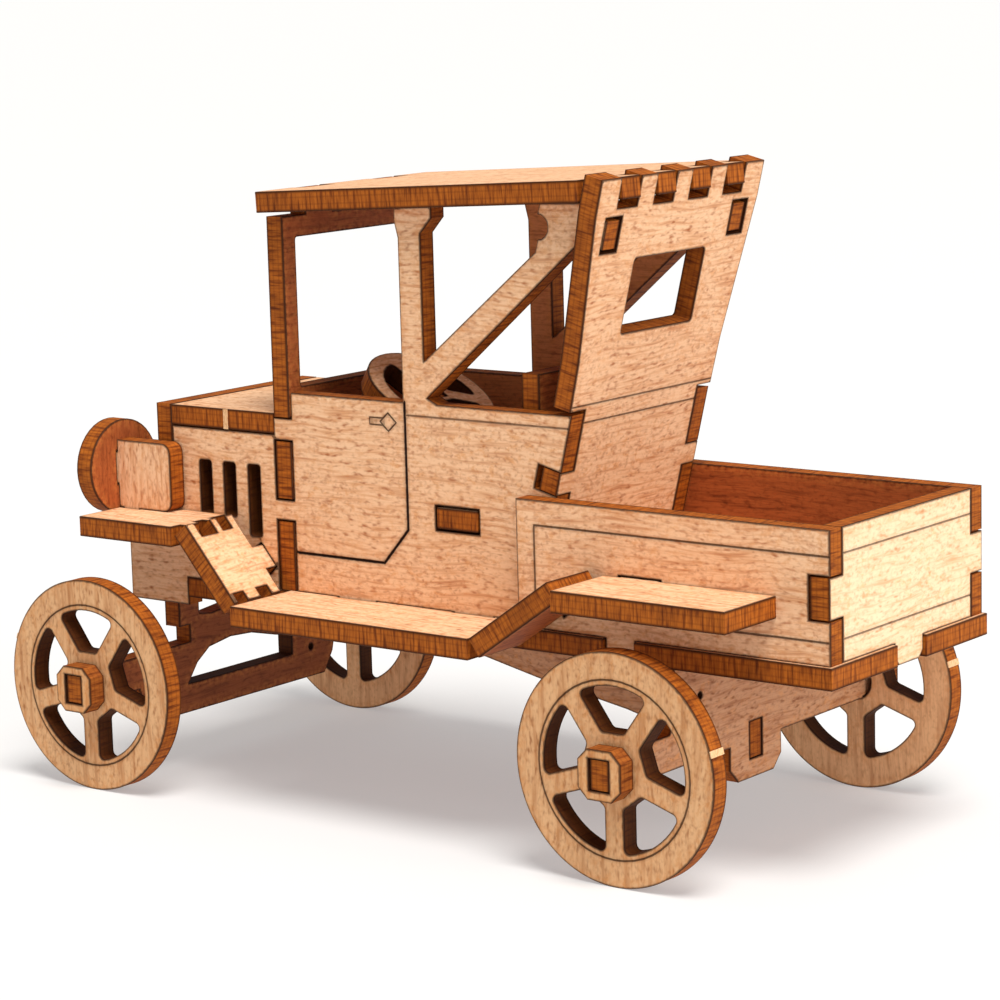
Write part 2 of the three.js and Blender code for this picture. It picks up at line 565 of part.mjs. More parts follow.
function fenderTops() {
  const nose = RADIATOR_X + T + KERF;
  const wall = BODY_HALF + 0.02;
  const front = [[FRONT_FENDER_REAR, wall], [nose, wall], [nose, BODY_IN]];
  front.push([FRONT_FENDER_FRONT, BODY_IN], [FRONT_FENDER_FRONT, FRONT_FENDER_HALF]);
  front.push([FRONT_FENDER_REAR, FRONT_FENDER_HALF]);
  for (const [y1, y0] of [[26.2, 23.6], [21.6, 20.2]]) {
    const tongue = FRONT_FENDER_REAR - 1.2;
    front.push([FRONT_FENDER_REAR, y1], [tongue, y1], [tongue, y0], [FRONT_FENDER_REAR, y0]);
  }
  const bracket = rect(
    BRACKET_TAB[0] - KERF, BRACKET_TAB[1] + KERF, BRACKET_IN - KERF, BRACKET_IN + T + KERF,
  );
  const rear = [[REAR_FENDER_REAR, BED_OUT + 0.02], [FENDER_TAB[0], BED_OUT + 0.02]];
  rear.push([FENDER_TAB[0], BED_IN + 0.1], [FENDER_TAB[1], BED_IN + 0.1]);
  rear.push([FENDER_TAB[1], BED_OUT + 0.02], [REAR_FENDER_FRONT, BED_OUT + 0.02]);
  rear.push([REAR_FENDER_FRONT, REAR_FENDER_HALF], [REAR_FENDER_REAR, REAR_FENDER_HALF]);
  return [
    ...flatPair("front_fender_top", FRONT_FENDER_Z, front, [bracket]),
    ...flatPair("rear_fender_top", REAR_FENDER_Z, rear),
  ];
}

function headlights() {
  const face = FRONT_FENDER_FRONT + 0.1; // rear face of each lamp disc
  const sill = FRONT_FENDER_Z + T + 0.05;
  const joint = face - 0.05;
  const points = [[BRACKET_REAR, sill], [BRACKET_REAR, BRACKET_TOP], [joint, BRACKET_TOP]];
  points.push([joint, LAMP_TAB[1]], [face + T, LAMP_TAB[1]], [face + T, LAMP_TAB[0]]);
  points.push([joint, LAMP_TAB[0]], [joint, sill], [BRACKET_TAB[1], sill]);
  points.push([BRACKET_TAB[1], FRONT_FENDER_Z], [BRACKET_TAB[0], FRONT_FENDER_Z]);
  points.push([BRACKET_TAB[0], sill]);
  const slot = rect(BRACKET_IN - KERF, BRACKET_IN + T + KERF, LAMP_TAB[0] - KERF, LAMP_TAB[1] + KERF);
  const disc = circle(LAMP_Y, LAMP_Z, LAMP_R, 40);
  return [
    ...alongPair("headlight_bracket", BRACKET_IN, rounded(points, 1.8, (i) => i > 1)),
    cross("headlight_disc_left", face, disc, [slot]),
    cross("headlight_disc_right", face, flipFirst(disc), [flipFirst(slot)]),
  ];
}

// ---------------------------------------------------------------- axles and spine
const STUB_LOW = 13.4;
const STUB_HIGH = 18.3;
const SPINE_TAB = [11.0, 16.0]; // heights of the spine tab in the rear axle lug

/** Outer end of an axle sheet: the stub and the tenon that carries a wheel. */
function stubEnd() {
  return [
    [SHOULDER_Y, STUB_LOW], [SHOULDER_Y, AXLE_Z - TENON_HALF],
    [TENON_END, AXLE_Z - TENON_HALF], [TENON_END, AXLE_Z + TENON_HALF],
    [SHOULDER_Y, AXLE_Z + TENON_HALF], [SHOULDER_Y, STUB_HIGH],
  ];
}

function frontAxle() {
  const half = [[0, 7.8], [19.7, 7.8], [21.8, 11.0], [22.4, STUB_LOW], ...stubEnd()];
  half.push([11.0, 18.6], [11.0, 21.2], [POST_Y[1], 21.2], [POST_Y[1], DECK_TOP]);
  half.push([POST_Y[0], DECK_TOP], [POST_Y[0], 22.6], [6.0, 22.2], [0, 22.8]);
  const opening = [[11.8, 12.2], [9.6, 15.1], [6.8, 17.0], [2.0, 17.7], [-2.8, 17.4]];
  opening.push([-8.4, 16.0], [-12.1, 15.3], [-12.1, 12.2]);
  const pins = [16.5, -16.5].map((y) => circle(y, 12.6, 0.5, 10));
  return cross("front_axle_plate", FRONT_AXLE_X - T / 2, mirrored(half), [opening, ...pins]);
}

function rearAxle() {
  const half = [[0, 8.2], [4.4, 8.2], [6.4, 10.2], [6.4, STUB_LOW], ...stubEnd()];
  half.push([20.6, STUB_HIGH], [19.4, 20.5], [19.4, DECK_Z], [REAR_TAB_Y[1], DECK_Z]);
  half.push([REAR_TAB_Y[1], DECK_TOP], [REAR_TAB_Y[0], DECK_TOP], [REAR_TAB_Y[0], DECK_Z]);
  const slot = rect(-T / 2 - KERF, T / 2 + KERF, SPINE_TAB[0] - KERF, SPINE_TAB[1] + KERF);
  const pins = [13.4, -13.4].map((y) => circle(y, 22.2, 0.5, 10));
  return cross("rear_axle_plate", REAR_AXLE_X - T / 2, mirrored(half), [slot, ...pins]);
}

function spine() {
  const wall = REAR_AXLE_X + T / 2 + 0.1;
  const points = [[wall, DECK_Z], [wall, SPINE_TAB[1]], [wall - T, SPINE_TAB[1]]];
  points.push([wall - T, SPINE_TAB[0]], [wall, SPINE_TAB[0]], [-22.5, 15.3], [-6.9, 18.0]);
  points.push([2.4, 20.0], [30.0, 24.2], [38.0, 27.0]);
  for (const [x0, x1] of [...SPINE_TABS].reverse()) {
    points.push([x1, DECK_Z], [x1, DECK_TOP], [x0, DECK_TOP], [x0, DECK_Z]);
  }
  return along("chassis_spine", -T / 2, points);
}

// ---------------------------------------------------------------- wheels
const SPOKES = 5;
const SPOKE_HALF = 1.5;
const HUB_R = 5.3;
const OPENING_R = 11.2;
const BORE_R = 2.58; // round hole that turns on the corners of the square-cut tenon

/** Opening between two straight spokes: curved outer side, straight inner side. */
function sectorHole(from, to, innerR, outerR, spokeHalf, corner, steps) {
  const outerTrim = Math.asin(spokeHalf / outerR);
  const innerTrim = Math.asin(spokeHalf / innerR);
  const outer = arc(0, 0, outerR, from + outerTrim, to - outerTrim, steps);
  const inner = arc(0, 0, innerR, to - innerTrim, from + innerTrim, 1);
  return rounded([...outer, ...inner], corner, (i) => i > 0 && i < steps);
}

function wheel(name, x, side) {
  const turn = (2 * Math.PI) / SPOKES;
  const holes = Array.from({ length: SPOKES }, (_, i) => {
    const from = -Math.PI / 2 + i * turn;
    return sectorHole(from, from + turn, HUB_R, OPENING_R, SPOKE_HALF, 1.3, 6);
  });
  holes.push(circle(0, 0, BORE_R, 24));
  const mesh = along(name, side > 0 ? WHEEL_IN : -WHEEL_IN - T, circle(0, 0, WHEEL_R, 72), holes);
  mesh.geometry.translate(x, 0, AXLE_Z);
  return mesh;
}

function hubCap(name, x, side) {
  const w = 3.4;
  const cut = 1.5;
  const points = [[w, w - cut], [w - cut, w], [cut - w, w], [-w, w - cut]];
  points.push([-w, cut - w], [cut - w, -w], [w - cut, -w], [w, cut - w]);
  const hole = rect(-T / 2 - 0.15, T / 2 + 0.15, -TENON_HALF - 0.15, TENON_HALF + 0.15);
  const mesh = along(name, side > 0 ? CAP_IN : -CAP_IN - T, points, [hole]);
  mesh.geometry.translate(x, 0, AXLE_Z);
  return mesh;
}

function runningGear() {
  const corners = [["front", FRONT_AXLE_X], ["rear", REAR_AXLE_X]];
  return corners.flatMap(([end, x]) => [["left", 1], ["right", -1]].flatMap(([hand, side]) => [
    wheel(`wheel_${end}_${hand}`, x, side),
    hubCap(`hub_cap_${end}_${hand}`, x, side),
  ]));
}

// ---------------------------------------------------------------- the whole truck
const truck = new THREE.Group();
truck.name = "pickup_truck";
truck.add(deck(), ...bodySides(), radiator(), bonnetTop(), windscreenFrame(), cabBack(), roof());
truck.add(...seat(), ...steering(), ...loadBed(), ...fenderTops(), ...frontSlopes(), ...rearSlopes());
truck.add(...headlights(), frontAxle(), rearAxle(), spine(), ...runningGear());
truck.position.x = -(FRONT_AXLE_X + WHEEL_R + DECK_REAR) / 2; // centred over the origin

export default truck;
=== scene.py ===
"""Looks of a slot-together plywood pickup truck.

Every piece is one flat sheet of three-ply, cut out by laser. Each sheet is made again here from the
outline of its solid in the frame, with softened arrises, scalloped cut walls, burnt-in lines and a
veneer finish that knows how far each spot lies from a cut or an engraved line.
"""

import json
import logging
import math
from dataclasses import dataclass, field
from enum import Enum
from typing import Any, Iterable, Sequence, Union

import bmesh
import bpy
import numpy as np
from mathutils import Matrix, Vector
from mathutils.geometry import delaunay_2d_cdt


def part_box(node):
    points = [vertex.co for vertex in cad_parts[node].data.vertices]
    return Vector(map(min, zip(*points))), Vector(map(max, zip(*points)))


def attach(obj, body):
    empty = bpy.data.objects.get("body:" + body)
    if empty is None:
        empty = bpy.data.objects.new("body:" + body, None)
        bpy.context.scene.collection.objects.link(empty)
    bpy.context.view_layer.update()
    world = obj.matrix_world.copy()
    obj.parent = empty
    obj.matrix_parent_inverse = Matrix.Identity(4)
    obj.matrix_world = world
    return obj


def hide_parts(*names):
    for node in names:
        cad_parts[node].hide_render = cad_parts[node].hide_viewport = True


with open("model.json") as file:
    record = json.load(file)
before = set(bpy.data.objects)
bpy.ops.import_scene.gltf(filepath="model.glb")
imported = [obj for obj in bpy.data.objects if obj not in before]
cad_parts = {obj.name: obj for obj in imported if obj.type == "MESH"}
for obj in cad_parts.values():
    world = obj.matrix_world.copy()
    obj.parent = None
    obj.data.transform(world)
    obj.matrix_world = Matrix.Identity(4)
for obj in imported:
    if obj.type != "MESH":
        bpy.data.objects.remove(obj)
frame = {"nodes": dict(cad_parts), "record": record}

log = logging.getLogger("plywood_truck")

MM = 0.001  # metres in a millimetre
UV_UNIT = 100.0  # millimetres in one unit of a sheet's UV map

Link = Union[bpy.types.NodeSocket, "Term"]
Loop = np.ndarray  # closed outline, one row (a, b) in millimetres for each corner


class Side(Enum):
    """Directions that a sheet's good side or its grain can take."""

    FRONT = (1.0, 0.0, 0.0)
    REAR = (-1.0, 0.0, 0.0)
    LEFT = (0.0, 1.0, 0.0)
    RIGHT = (0.0, -1.0, 0.0)
    UP = (0.0, 0.0, 1.0)
    UP_REAR = (-0.7, 0.0, 0.7)
    UP_FRONT = (0.4, 0.0, 0.9)

    @property
    def vector(self) -> Vector:
        """The direction as a unit vector."""
        return Vector(self.value).normalized()


def linear(red: int, green: int, blue: int) -> tuple[float, float, float, float]:
    """Turns a display colour into the linear colour that shaders take.

    Args:
        red, green, blue: Channels from 0 to 255.

    Returns:
        Linear red, green and blue with an alpha of 1.
    """
    def channel(value: int) -> float:
        """One channel from display to linear."""
        share = value / 255
        return share / 12.92 if share <= 0.04045 else ((share + 0.055) / 1.055) ** 2.4

    return channel(red), channel(green), channel(blue), 1.0


# ------------------------------------------------------------------ node trees as Python expressions
class Term:
    """A number on a node socket, which takes part in Python sums."""

    def __init__(self, bench: "Bench", socket: bpy.types.NodeSocket) -> None:
        """Keeps the bench that adds nodes and the socket that carries the number."""
        self.bench = bench
        self.socket = socket

    def _math(self, operation: str, *operands: Any) -> "Term":
        """Adds one Math node.

        Args:
            operation: The node's operation.
            operands: Numbers or terms, in order.

        Returns:
            The node's result.
        """
        values = dict(enumerate(operands))
        node = self.bench.node("ShaderNodeMath", {"operation": operation}, values)
        return Term(self.bench, node.outputs[0])

    def __add__(self, other: Any) -> "Term":
        """self + other."""
        return self._math("ADD", self, other)

    def __radd__(self, other: Any) -> "Term":
        """other + self."""
        return self._math("ADD", other, self)

    def __sub__(self, other: Any) -> "Term":
        """self - other."""
        return self._math("SUBTRACT", self, other)

    def __rsub__(self, other: Any) -> "Term":
        """other - self."""
        return self._math("SUBTRACT", other, self)

    def __mul__(self, other: Any) -> "Term":
        """self * other."""
        return self._math("MULTIPLY", self, other)

    def __rmul__(self, other: Any) -> "Term":
        """other * self."""
        return self._math("MULTIPLY", other, self)

    def __truediv__(self, other: Any) -> "Term":
        """self / other."""
        return self._math("DIVIDE", self, other)

    def __rtruediv__(self, other: Any) -> "Term":
        """other / self."""
        return self._math("DIVIDE", other, self)

    def __lt__(self, other: Any) -> "Term":
        """1 where self is less than other, else 0."""
        return self._math("LESS_THAN", self, other)

    def __gt__(self, other: Any) -> "Term":
        """1 where self is more than other, else 0."""
        return self._math("GREATER_THAN", self, other)

    def __abs__(self) -> "Term":
        """Size of the number without its sign."""
        return self._math("ABSOLUTE", self)

    def arcsine(self) -> "Term":
        """Angle whose sine is the number."""
        return self._math("ARCSINE", self)

    def sine(self) -> "Term":
        """Sine of the number."""
        return self._math("SINE", self)

    def cosine(self) -> "Term":
        """Cosine of the number."""
        return self._math("COSINE", self)

    def most(self, other: Any) -> "Term":
        """The larger of two numbers."""
        return self._math("MAXIMUM", self, other)

    def rise(self, low: Any, high: Any) -> "Term":
        """Smooth step from 0 below low to 1 above high.

        Args:
            low: Value at which the step starts.
            high: Value at which it is complete; below low for a falling step.

        Returns:
            The step as a term.
        """
        values = {"Value": self, "From Min": low, "From Max": high}
        settings = {"interpolation_type": "SMOOTHSTEP"}
        node = self.bench.node("ShaderNodeMapRange", settings, values)
        return Term(self.bench, node.outputs["Result"])


class Bench:
    """Adds nodes to one tree, whether it is a material's or a geometry tree."""

    COLUMN = 190
    ROWS = 12

    def __init__(self, tree: bpy.types.NodeTree) -> None:
        """Starts on an existing tree."""
        self.tree = tree
        self.count = 0

    def node(self, kind: str, settings: dict[str, Any] | None = None,
             values: dict[Any, Any] | None = None) -> bpy.types.Node:
        """Adds a node.

        Args:
            kind: The node's type name.
            settings: Properties that are set before the sockets.
            values: Numbers, colours, texts or links for the inputs, by name, identifier or index.

        Returns:
            The new node.
        """
        node = self.tree.nodes.new(kind)
        node.location = (self.COLUMN * (self.count // self.ROWS), -160 * (self.count % self.ROWS))
        self.count += 1
        for name, value in (settings or {}).items():
            setattr(node, name, value)
        for key, value in (values or {}).items():
            self._feed(self._input(node, key), value)
        return node

    @staticmethod
    def _input(node: bpy.types.Node, key: Any) -> bpy.types.NodeSocket:
        """Finds an input.

        Args:
            node: The node.
            key: Index, identifier or name of an enabled socket.

        Returns:
            The input socket.
        """
        if isinstance(key, int):
            return node.inputs[key]
        for socket in node.inputs:
            if socket.identifier == key:
                return socket
        return next(s for s in node.inputs if s.name == key and s.enabled)

    def _feed(self, socket: bpy.types.NodeSocket, value: Any) -> None:
        """Links a term or socket to an input, or sets the input's own value.

        Args:
            socket: The input.
            value: A term, an output socket or a plain value.
        """
        if isinstance(value, Term):
            value = value.socket
        if isinstance(value, bpy.types.NodeSocket):
            self.tree.links.new(value, socket)
        else:
            socket.default_value = value

    def term(self, node: bpy.types.Node, output: Any = 0) -> Term:
        """One output of a node as a term."""
        return Term(self, node.outputs[output])

    def mix(self, share: Any, first: Any, second: Any, blend: str = "MIX") -> bpy.types.NodeSocket:
        """Mixes two colours.

        Args:
            share: Amount of the second colour.
            first, second: Colours or links.
            blend: The way in which they are mixed.

        Returns:
            The socket of the mixed colour.
        """
        settings = {"data_type": "RGBA", "blend_type": blend, "clamp_factor": True}
        values = {"Factor_Float": share, "A_Color": first, "B_Color": second}
        node = self.node("ShaderNodeMix", settings, values)
        return next(s for s in node.outputs if s.identifier == "Result_Color")

    def vector(self, operation: str, *operands: Any) -> bpy.types.NodeSocket:
        """Adds one Vector Math node and gives its vector output."""
        values = dict(enumerate(operands))
        return self.node("ShaderNodeVectorMath", {"operation": operation}, values).outputs["Vector"]

    def scaled(self, vector: Link, scale: Any) -> bpy.types.NodeSocket:
        """A vector times a number."""
        values = {"Vector": vector, "Scale": scale}
        node = self.node("ShaderNodeVectorMath", {"operation": "SCALE"}, values)
        return node.outputs["Vector"]

    def combine(self, x: Any, y: Any, z: Any = 0.0) -> bpy.types.NodeSocket:
        """A vector from three numbers."""
        return self.node("ShaderNodeCombineXYZ", None, {0: x, 1: y, 2: z}).outputs[0]

    def noise(self, place: Link, detail: float = 2.0, roughness: float = 0.5,
              warp: float = 0.0) -> Term:
        """Adds a noise texture.

        Args:
            place: Where the noise is read, in grains of the noise.
            detail, roughness, warp: The texture's settings.

        Returns:
            The noise, from 0 to 1.
        """
        values = {"Vector": place, "Scale": 1.0, "Detail": detail, "Roughness": roughness,
                  "Distortion": warp}
        return self.term(self.node("ShaderNodeTexNoise", {"noise_dimensions": "3D"}, values))


# ------------------------------------------------------------------ finishes
def empty_material(name: str) -> tuple[bpy.types.Material, Bench]:
    """Makes a material with no nodes.

    Args:
        name: The material's name.

    Returns:
        The material and a bench on its tree.
    """
    material = bpy.data.materials.new(name)
    material.use_nodes = True
    material.node_tree.nodes.clear()
    return material, Bench(material.node_tree)


@dataclass(frozen=True)
class VeneerFinish:
    """Colours and texture of one copy of the laser-cut plywood, some copies paler or darker as painted
    light or shade.

    Lengths are in millimetres. Streaks run along a sheet's grain, which is the U of its UV map.
    """

    name: str
    pale: tuple[int, int, int] = (250, 207, 166)
    tan: tuple[int, int, int] = (226, 165, 117)
    amber: tuple[int, int, int] = (222, 150, 86)
    fleck: tuple[int, int, int] = (166, 90, 46)
    # Back-face colours are painted shade: the sheets' back sides, mostly facing inwards, are coloured
    # darker to stand for the shade they sit in.
    back_shade: tuple[int, int, int] = (172, 92, 48)
    back_shade_dark: tuple[int, int, int] = (104, 46, 20)
    ember: tuple[int, int, int] = (132, 64, 17)
    ember_pale: tuple[int, int, int] = (181, 99, 29)
    ember_dark: tuple[int, int, int] = (76, 30, 6)
    char: tuple[int, int, int] = (30, 12, 5)
    halo: tuple[int, int, int] = (208, 132, 66)
    streak_length: float = 9.0
    streak_width: float = 0.62
    fleck_length: float = 1.35
    fleck_width: float = 0.55
    relief: float = 0.035

    def material(self) -> bpy.types.Material:
        """Builds the material.

        Returns:
            A node material that reads a sheet's UV map and its rim, groove, burn and back attributes,
            and the attribute that paints shade on the walls of holes.
        """
        material, bench = empty_material(self.name)
        plane = bench.node("ShaderNodeUVMap", {"uv_map": PlySheet.UV_NAME}).outputs["UV"]
        split = bench.node("ShaderNodeSeparateXYZ", None, {0: plane})
        along = bench.term(split, "X") * UV_UNIT
        across = bench.term(split, "Y") * UV_UNIT
        rim = self._attribute(bench, "rim")
        face, height = self._face(bench, along, across)
        wall, wall_height = self._wall(bench, along, across)
        wobble = bench.noise(bench.combine(along * 1.3, across * 1.3), 2.0)
        scorched = self._scorch(bench, face, rim, wobble)
        engraved, sunk = self._engrave(bench, scorched, wobble)
        on_wall = rim < 0.0
        colour = bench.mix(on_wall, engraved, wall)
        relief = on_wall * wall_height + (1.0 - on_wall) * (height - sunk)
        bump = bench.node("ShaderNodeBump", None, {
            "Strength": 0.55, "Distance": self.relief * MM, "Height": relief,
        })
        shader = bench.node("ShaderNodeBsdfPrincipled", None, {
            "Base Color": colour,
            "Roughness": 0.6 + 0.14 * on_wall + 0.1 * sunk,
            "Specular IOR Level": 0.14,
            "Normal": bump.outputs["Normal"],
        })
        bench.node("ShaderNodeOutputMaterial", None, {"Surface": shader.outputs[0]})
        return material

    @staticmethod
    def _attribute(bench: Bench, name: str) -> Term:
        """A sheet's attribute as a term."""
        node = bench.node("ShaderNodeAttribute", {"attribute_name": name})
        return bench.term(node, "Fac")

    def _face(self, bench: Bench, along: Term, across: Term) -> tuple[Link, Term]:
        """Makes the open veneer, pale in front and darker behind, where the back faces get painted
        shade.

        Args:
            bench: Bench of the material.
            along, across: Place on the sheet, along the grain and across it.

        Returns:
            Its colour and its height.
        """
        drift = bench.noise(bench.combine(along * 0.045, across * 0.07), 2.0)
        bow = across + drift * 3.0
        figure = bench.noise(bench.combine(along / self.streak_length, bow / self.streak_width),
                             2.6, 0.55)
        fine = bench.noise(bench.combine(along / 3.5, bow / 0.22), 3.0, 0.6)
        dash = bench.noise(bench.combine(along / self.fleck_length, bow / self.fleck_width),
                           1.2, 0.45)
        mottle = bench.noise(bench.combine(along / 0.7, across / 0.6), 1.2, 0.45)
        cluster = bench.noise(bench.combine(along / 4.0, across / 2.0 + 40.0), 3.0, 0.6)
        blot = bench.noise(bench.combine(along / 1.7, across / 1.1 + 20.0), 3.0, 0.65, 0.3)
        patch = bench.noise(bench.combine(along * 0.06 + 7.0, across * 0.085), 2.0).rise(0.4, 0.6)
        streaks = figure.rise(0.42, 0.66) * (1.0 - patch * 0.45)
        dashes = (dash + cluster * 0.5).rise(0.7, 1.14) * (1.0 - patch * 0.3)
        spots = (mottle + cluster * 0.4).rise(0.64, 1.12) * (0.3 + patch * 0.6)
        base = bench.mix(streaks * 0.6 + drift * 0.35, linear(*self.pale), linear(*self.tan))
        base = bench.mix(blot.rise(0.5, 0.68) * (0.25 + patch * 0.3), base, linear(*self.amber))
        flecks = (dashes * 0.95).most(spots * 0.85).most(figure.rise(0.5, 0.86) * 0.75)
        front = bench.mix(flecks, base, linear(*self.fleck))
        front = bench.mix(fine.rise(0.5, 0.74) * 0.14, front, linear(*self.fleck))
        # painted shade: the back faces take the darker back colours in place of the shade that falls on
        # them
        back = bench.mix(streaks * 0.4 + flecks * 0.85, linear(*self.back_shade),
                         linear(*self.back_shade_dark))
        back = bench.mix(fine.rise(0.45, 0.75) * 0.4, back, linear(*self.back_shade_dark))
        colour = bench.mix(self._attribute(bench, "back"), front, back)
        return colour, 1.0 - flecks * 0.8 - fine * 0.3 - streaks * 0.15

    def _wall(self, bench: Bench, run: Term, depth: Term) -> tuple[Link, Term]:
        """Makes a cut wall: burnt streaks across three plies, with char at both arrises and painted
        shade on the walls of holes.

        Args:
            bench: Bench of the material.
            run: Place along the cut.
            depth: Place through the sheet, from its middle.

        Returns:
            Its colour and its height.
        """
        streak = bench.noise(bench.combine(run / 0.55, depth * 0.16), 3.0, 0.6)
        cloud = bench.noise(bench.combine(run / 7.0, depth * 0.2 + 9.0), 2.0)
        colour = bench.mix(streak.rise(0.34, 0.66), linear(*self.ember), linear(*self.ember_pale))
        colour = bench.mix(streak.rise(0.5, 0.3) * 0.55 + cloud.rise(0.5, 0.68) * 0.3, colour,
                           linear(*self.ember_dark))
        glue = (abs(abs(depth) - 0.5)).rise(0.2, 0.04)
        colour = bench.mix(glue * (0.08 + streak * 0.26), colour, linear(*self.ember_dark))
        # painted shade: the walls of holes are darkened towards char, most in small openings where
        # little light gets in
        hole_shade = self._attribute(bench, "hole_shade")
        colour = bench.mix(hole_shade * (0.55 + streak * 0.6), colour, linear(*self.char))
        arris = (abs(depth) + streak * 0.42).rise(1.2, 1.66)
        colour = bench.mix(arris * 0.88, colour, linear(*self.char))
        return colour, streak - glue * 0.25

    def _scorch(self, bench: Bench, colour: Link, rim: Term, wobble: Term) -> Link:
        """Adds the brown halo and the char line that a cut leaves along the edge of a face.

        Args:
            bench: Bench of the material.
            colour: Colour of the face.
            rim: Distance from the cut.
            wobble: Noise that makes the scorch uneven.

        Returns:
            The scorched colour.
        """
        halo = rim.rise(1.9, 0.1) * wobble.rise(0.36, 0.66)
        colour = bench.mix(halo * 0.42, colour, linear(*self.halo))
        line = (rim + wobble * 0.24).rise(0.5, 0.18)
        return bench.mix(line * 0.85, colour, linear(*self.char))

    def _engrave(self, bench: Bench, colour: Link, wobble: Term) -> tuple[Link, Term]:
        """Adds burnt-in lines.

        Args:
            bench: Bench of the material.
            colour: Colour of the face.
            wobble: Noise that makes the lines uneven.

        Returns:
            The colour with its lines, and how deep the burn is, from 0 to 1.
        """
        groove = self._attribute(bench, "groove")
        burn = self._attribute(bench, "burn")
        glow = groove.rise(3.2, 0.7) * burn * 0.3
        colour = bench.mix(glow, colour, linear(*self.ember_dark))
        core = (groove + wobble * 0.5 - 0.25).rise(1.25, 0.55)
        return bench.mix(core * burn, colour, linear(*self.char)), core * burn


@dataclass(frozen=True)
class FloorFinish:
    """Matt white studio floor."""

    name: str = "studio_floor"
    tone: tuple[int, int, int] = (192, 191, 190)
    glow: float = 0.34  # the floor is a lit table, which keeps its shadows faint

    def material(self) -> bpy.types.Material:
        """Builds the material, with a faint unevenness in its roughness.

        Returns:
            The node material.
        """
        material, bench = empty_material(self.name)
        place = bench.node("ShaderNodeTexCoord").outputs["Object"]
        cloud = bench.noise(bench.scaled(place, 8.0))
        shader = bench.node("ShaderNodeBsdfPrincipled", None, {
            "Base Color": linear(*self.tone),
            "Roughness": 0.85 + cloud * 0.1,
            "Specular IOR Level": 0.1,
            "Emission Color": (1.0, 1.0, 1.0, 1.0),
            "Emission Strength": self.glow,
        })
        bench.node("ShaderNodeOutputMaterial", None, {"Surface": shader.outputs[0]})
        return material


@dataclass(frozen=True)
class RawWoodFinish:
    """Fresh, unburnt wood, where a bridge between two sheets was broken off."""

    name: str = "raw_wood"
    pale: tuple[int, int, int] = (236, 192, 144)
    tan: tuple[int, int, int] = (196, 136, 82)

    def material(self) -> bpy.types.Material:
        """Builds the material from torn fibres along the thickness.

        Returns:
            The node material.
        """
        material, bench = empty_material(self.name)
        place = bench.node("ShaderNodeTexCoord").outputs["Object"]
        fibre = bench.noise(bench.vector("MULTIPLY", place, (4200.0, 4200.0, 1600.0)), 3.0)
        colour = bench.mix(fibre.rise(0.4, 0.7) * 0.6, linear(*self.pale), linear(*self.tan))
        bump = bench.node("ShaderNodeBump", None, {
            "Strength": 0.5, "Distance": 0.00004, "Height": fibre,
        })
        shader = bench.node("ShaderNodeBsdfPrincipled", None, {
            "Base Color": colour, "Roughness": 0.7, "Specular IOR Level": 0.25,
            "Normal": bump.outputs["Normal"],
        })
        bench.node("ShaderNodeOutputMaterial", None, {"Surface": shader.outputs[0]})
        return material


# ------------------------------------------------------------------ geometry trees
class GeometryTree:
    """A Geometry Nodes tree with named inputs, which is evaluated once and baked to a plain mesh."""

    TITLE = "tree"
    INPUTS: dict[str, tuple[str, Any]] = {}

    def __init__(self) -> None:
        """Makes the tree's interface and its nodes."""
        self.tree = bpy.data.node_groups.new(self.TITLE, "GeometryNodeTree")
        face = self.tree.interface
        face.new_socket("Geometry", in_out="INPUT", socket_type="NodeSocketGeometry")
        for name, (kind, _) in self.INPUTS.items():
            face.new_socket(name, in_out="INPUT", socket_type=kind)
        face.new_socket("Geometry", in_out="OUTPUT", socket_type="NodeSocketGeometry")
        self.bench = Bench(self.tree)
        self.source = self.bench.node("NodeGroupInput")
        self.given = {name: Term(self.bench, self.source.outputs[name]) for name in self.INPUTS}
        shape = self.build()
        dressed = self.bench.node("GeometryNodeSetMaterial", None, {
            "Geometry": self.bench.node("GeometryNodeRealizeInstances", None, {0: shape}).outputs[0],
            "Material": self.given["Material"],
        })
        self.bench.node("NodeGroupOutput", None, {0: dressed.outputs[0]})

    def build(self) -> bpy.types.NodeSocket:
        """Adds the tree's own nodes and gives the socket of the finished shape."""
        raise NotImplementedError

    def bake(self, name: str, mesh: bpy.types.Mesh, **values: Any) -> bpy.types.Mesh:
        """Runs the tree over a mesh.

        Args:
            name: Name of the resulting mesh.
            mesh: Mesh that the tree starts from.
            values: Inputs by name, with spaces as underscores; the others keep their defaults.

        Returns:
            The result as a plain mesh.
        """
        carrier = bpy.data.objects.new(name + "_carrier", mesh)
        bpy.context.scene.collection.objects.link(carrier)
        modifier = carrier.modifiers.new(self.TITLE, "NODES")
        modifier.node_group = self.tree
        for item in self.tree.interface.items_tree:
            if item.in_out == "INPUT" and item.name in self.INPUTS:
                value = values.get(item.name.replace(" ", "_"), self.INPUTS[item.name][1])
                modifier[item.identifier] = value
        graph = bpy.context.evaluated_depsgraph_get()
        result = bpy.data.meshes.new_from_object(carrier.evaluated_get(graph), depsgraph=graph)
        result.name = name
        carrier.modifiers.remove(modifier)
        bpy.data.objects.remove(carrier)
        return result


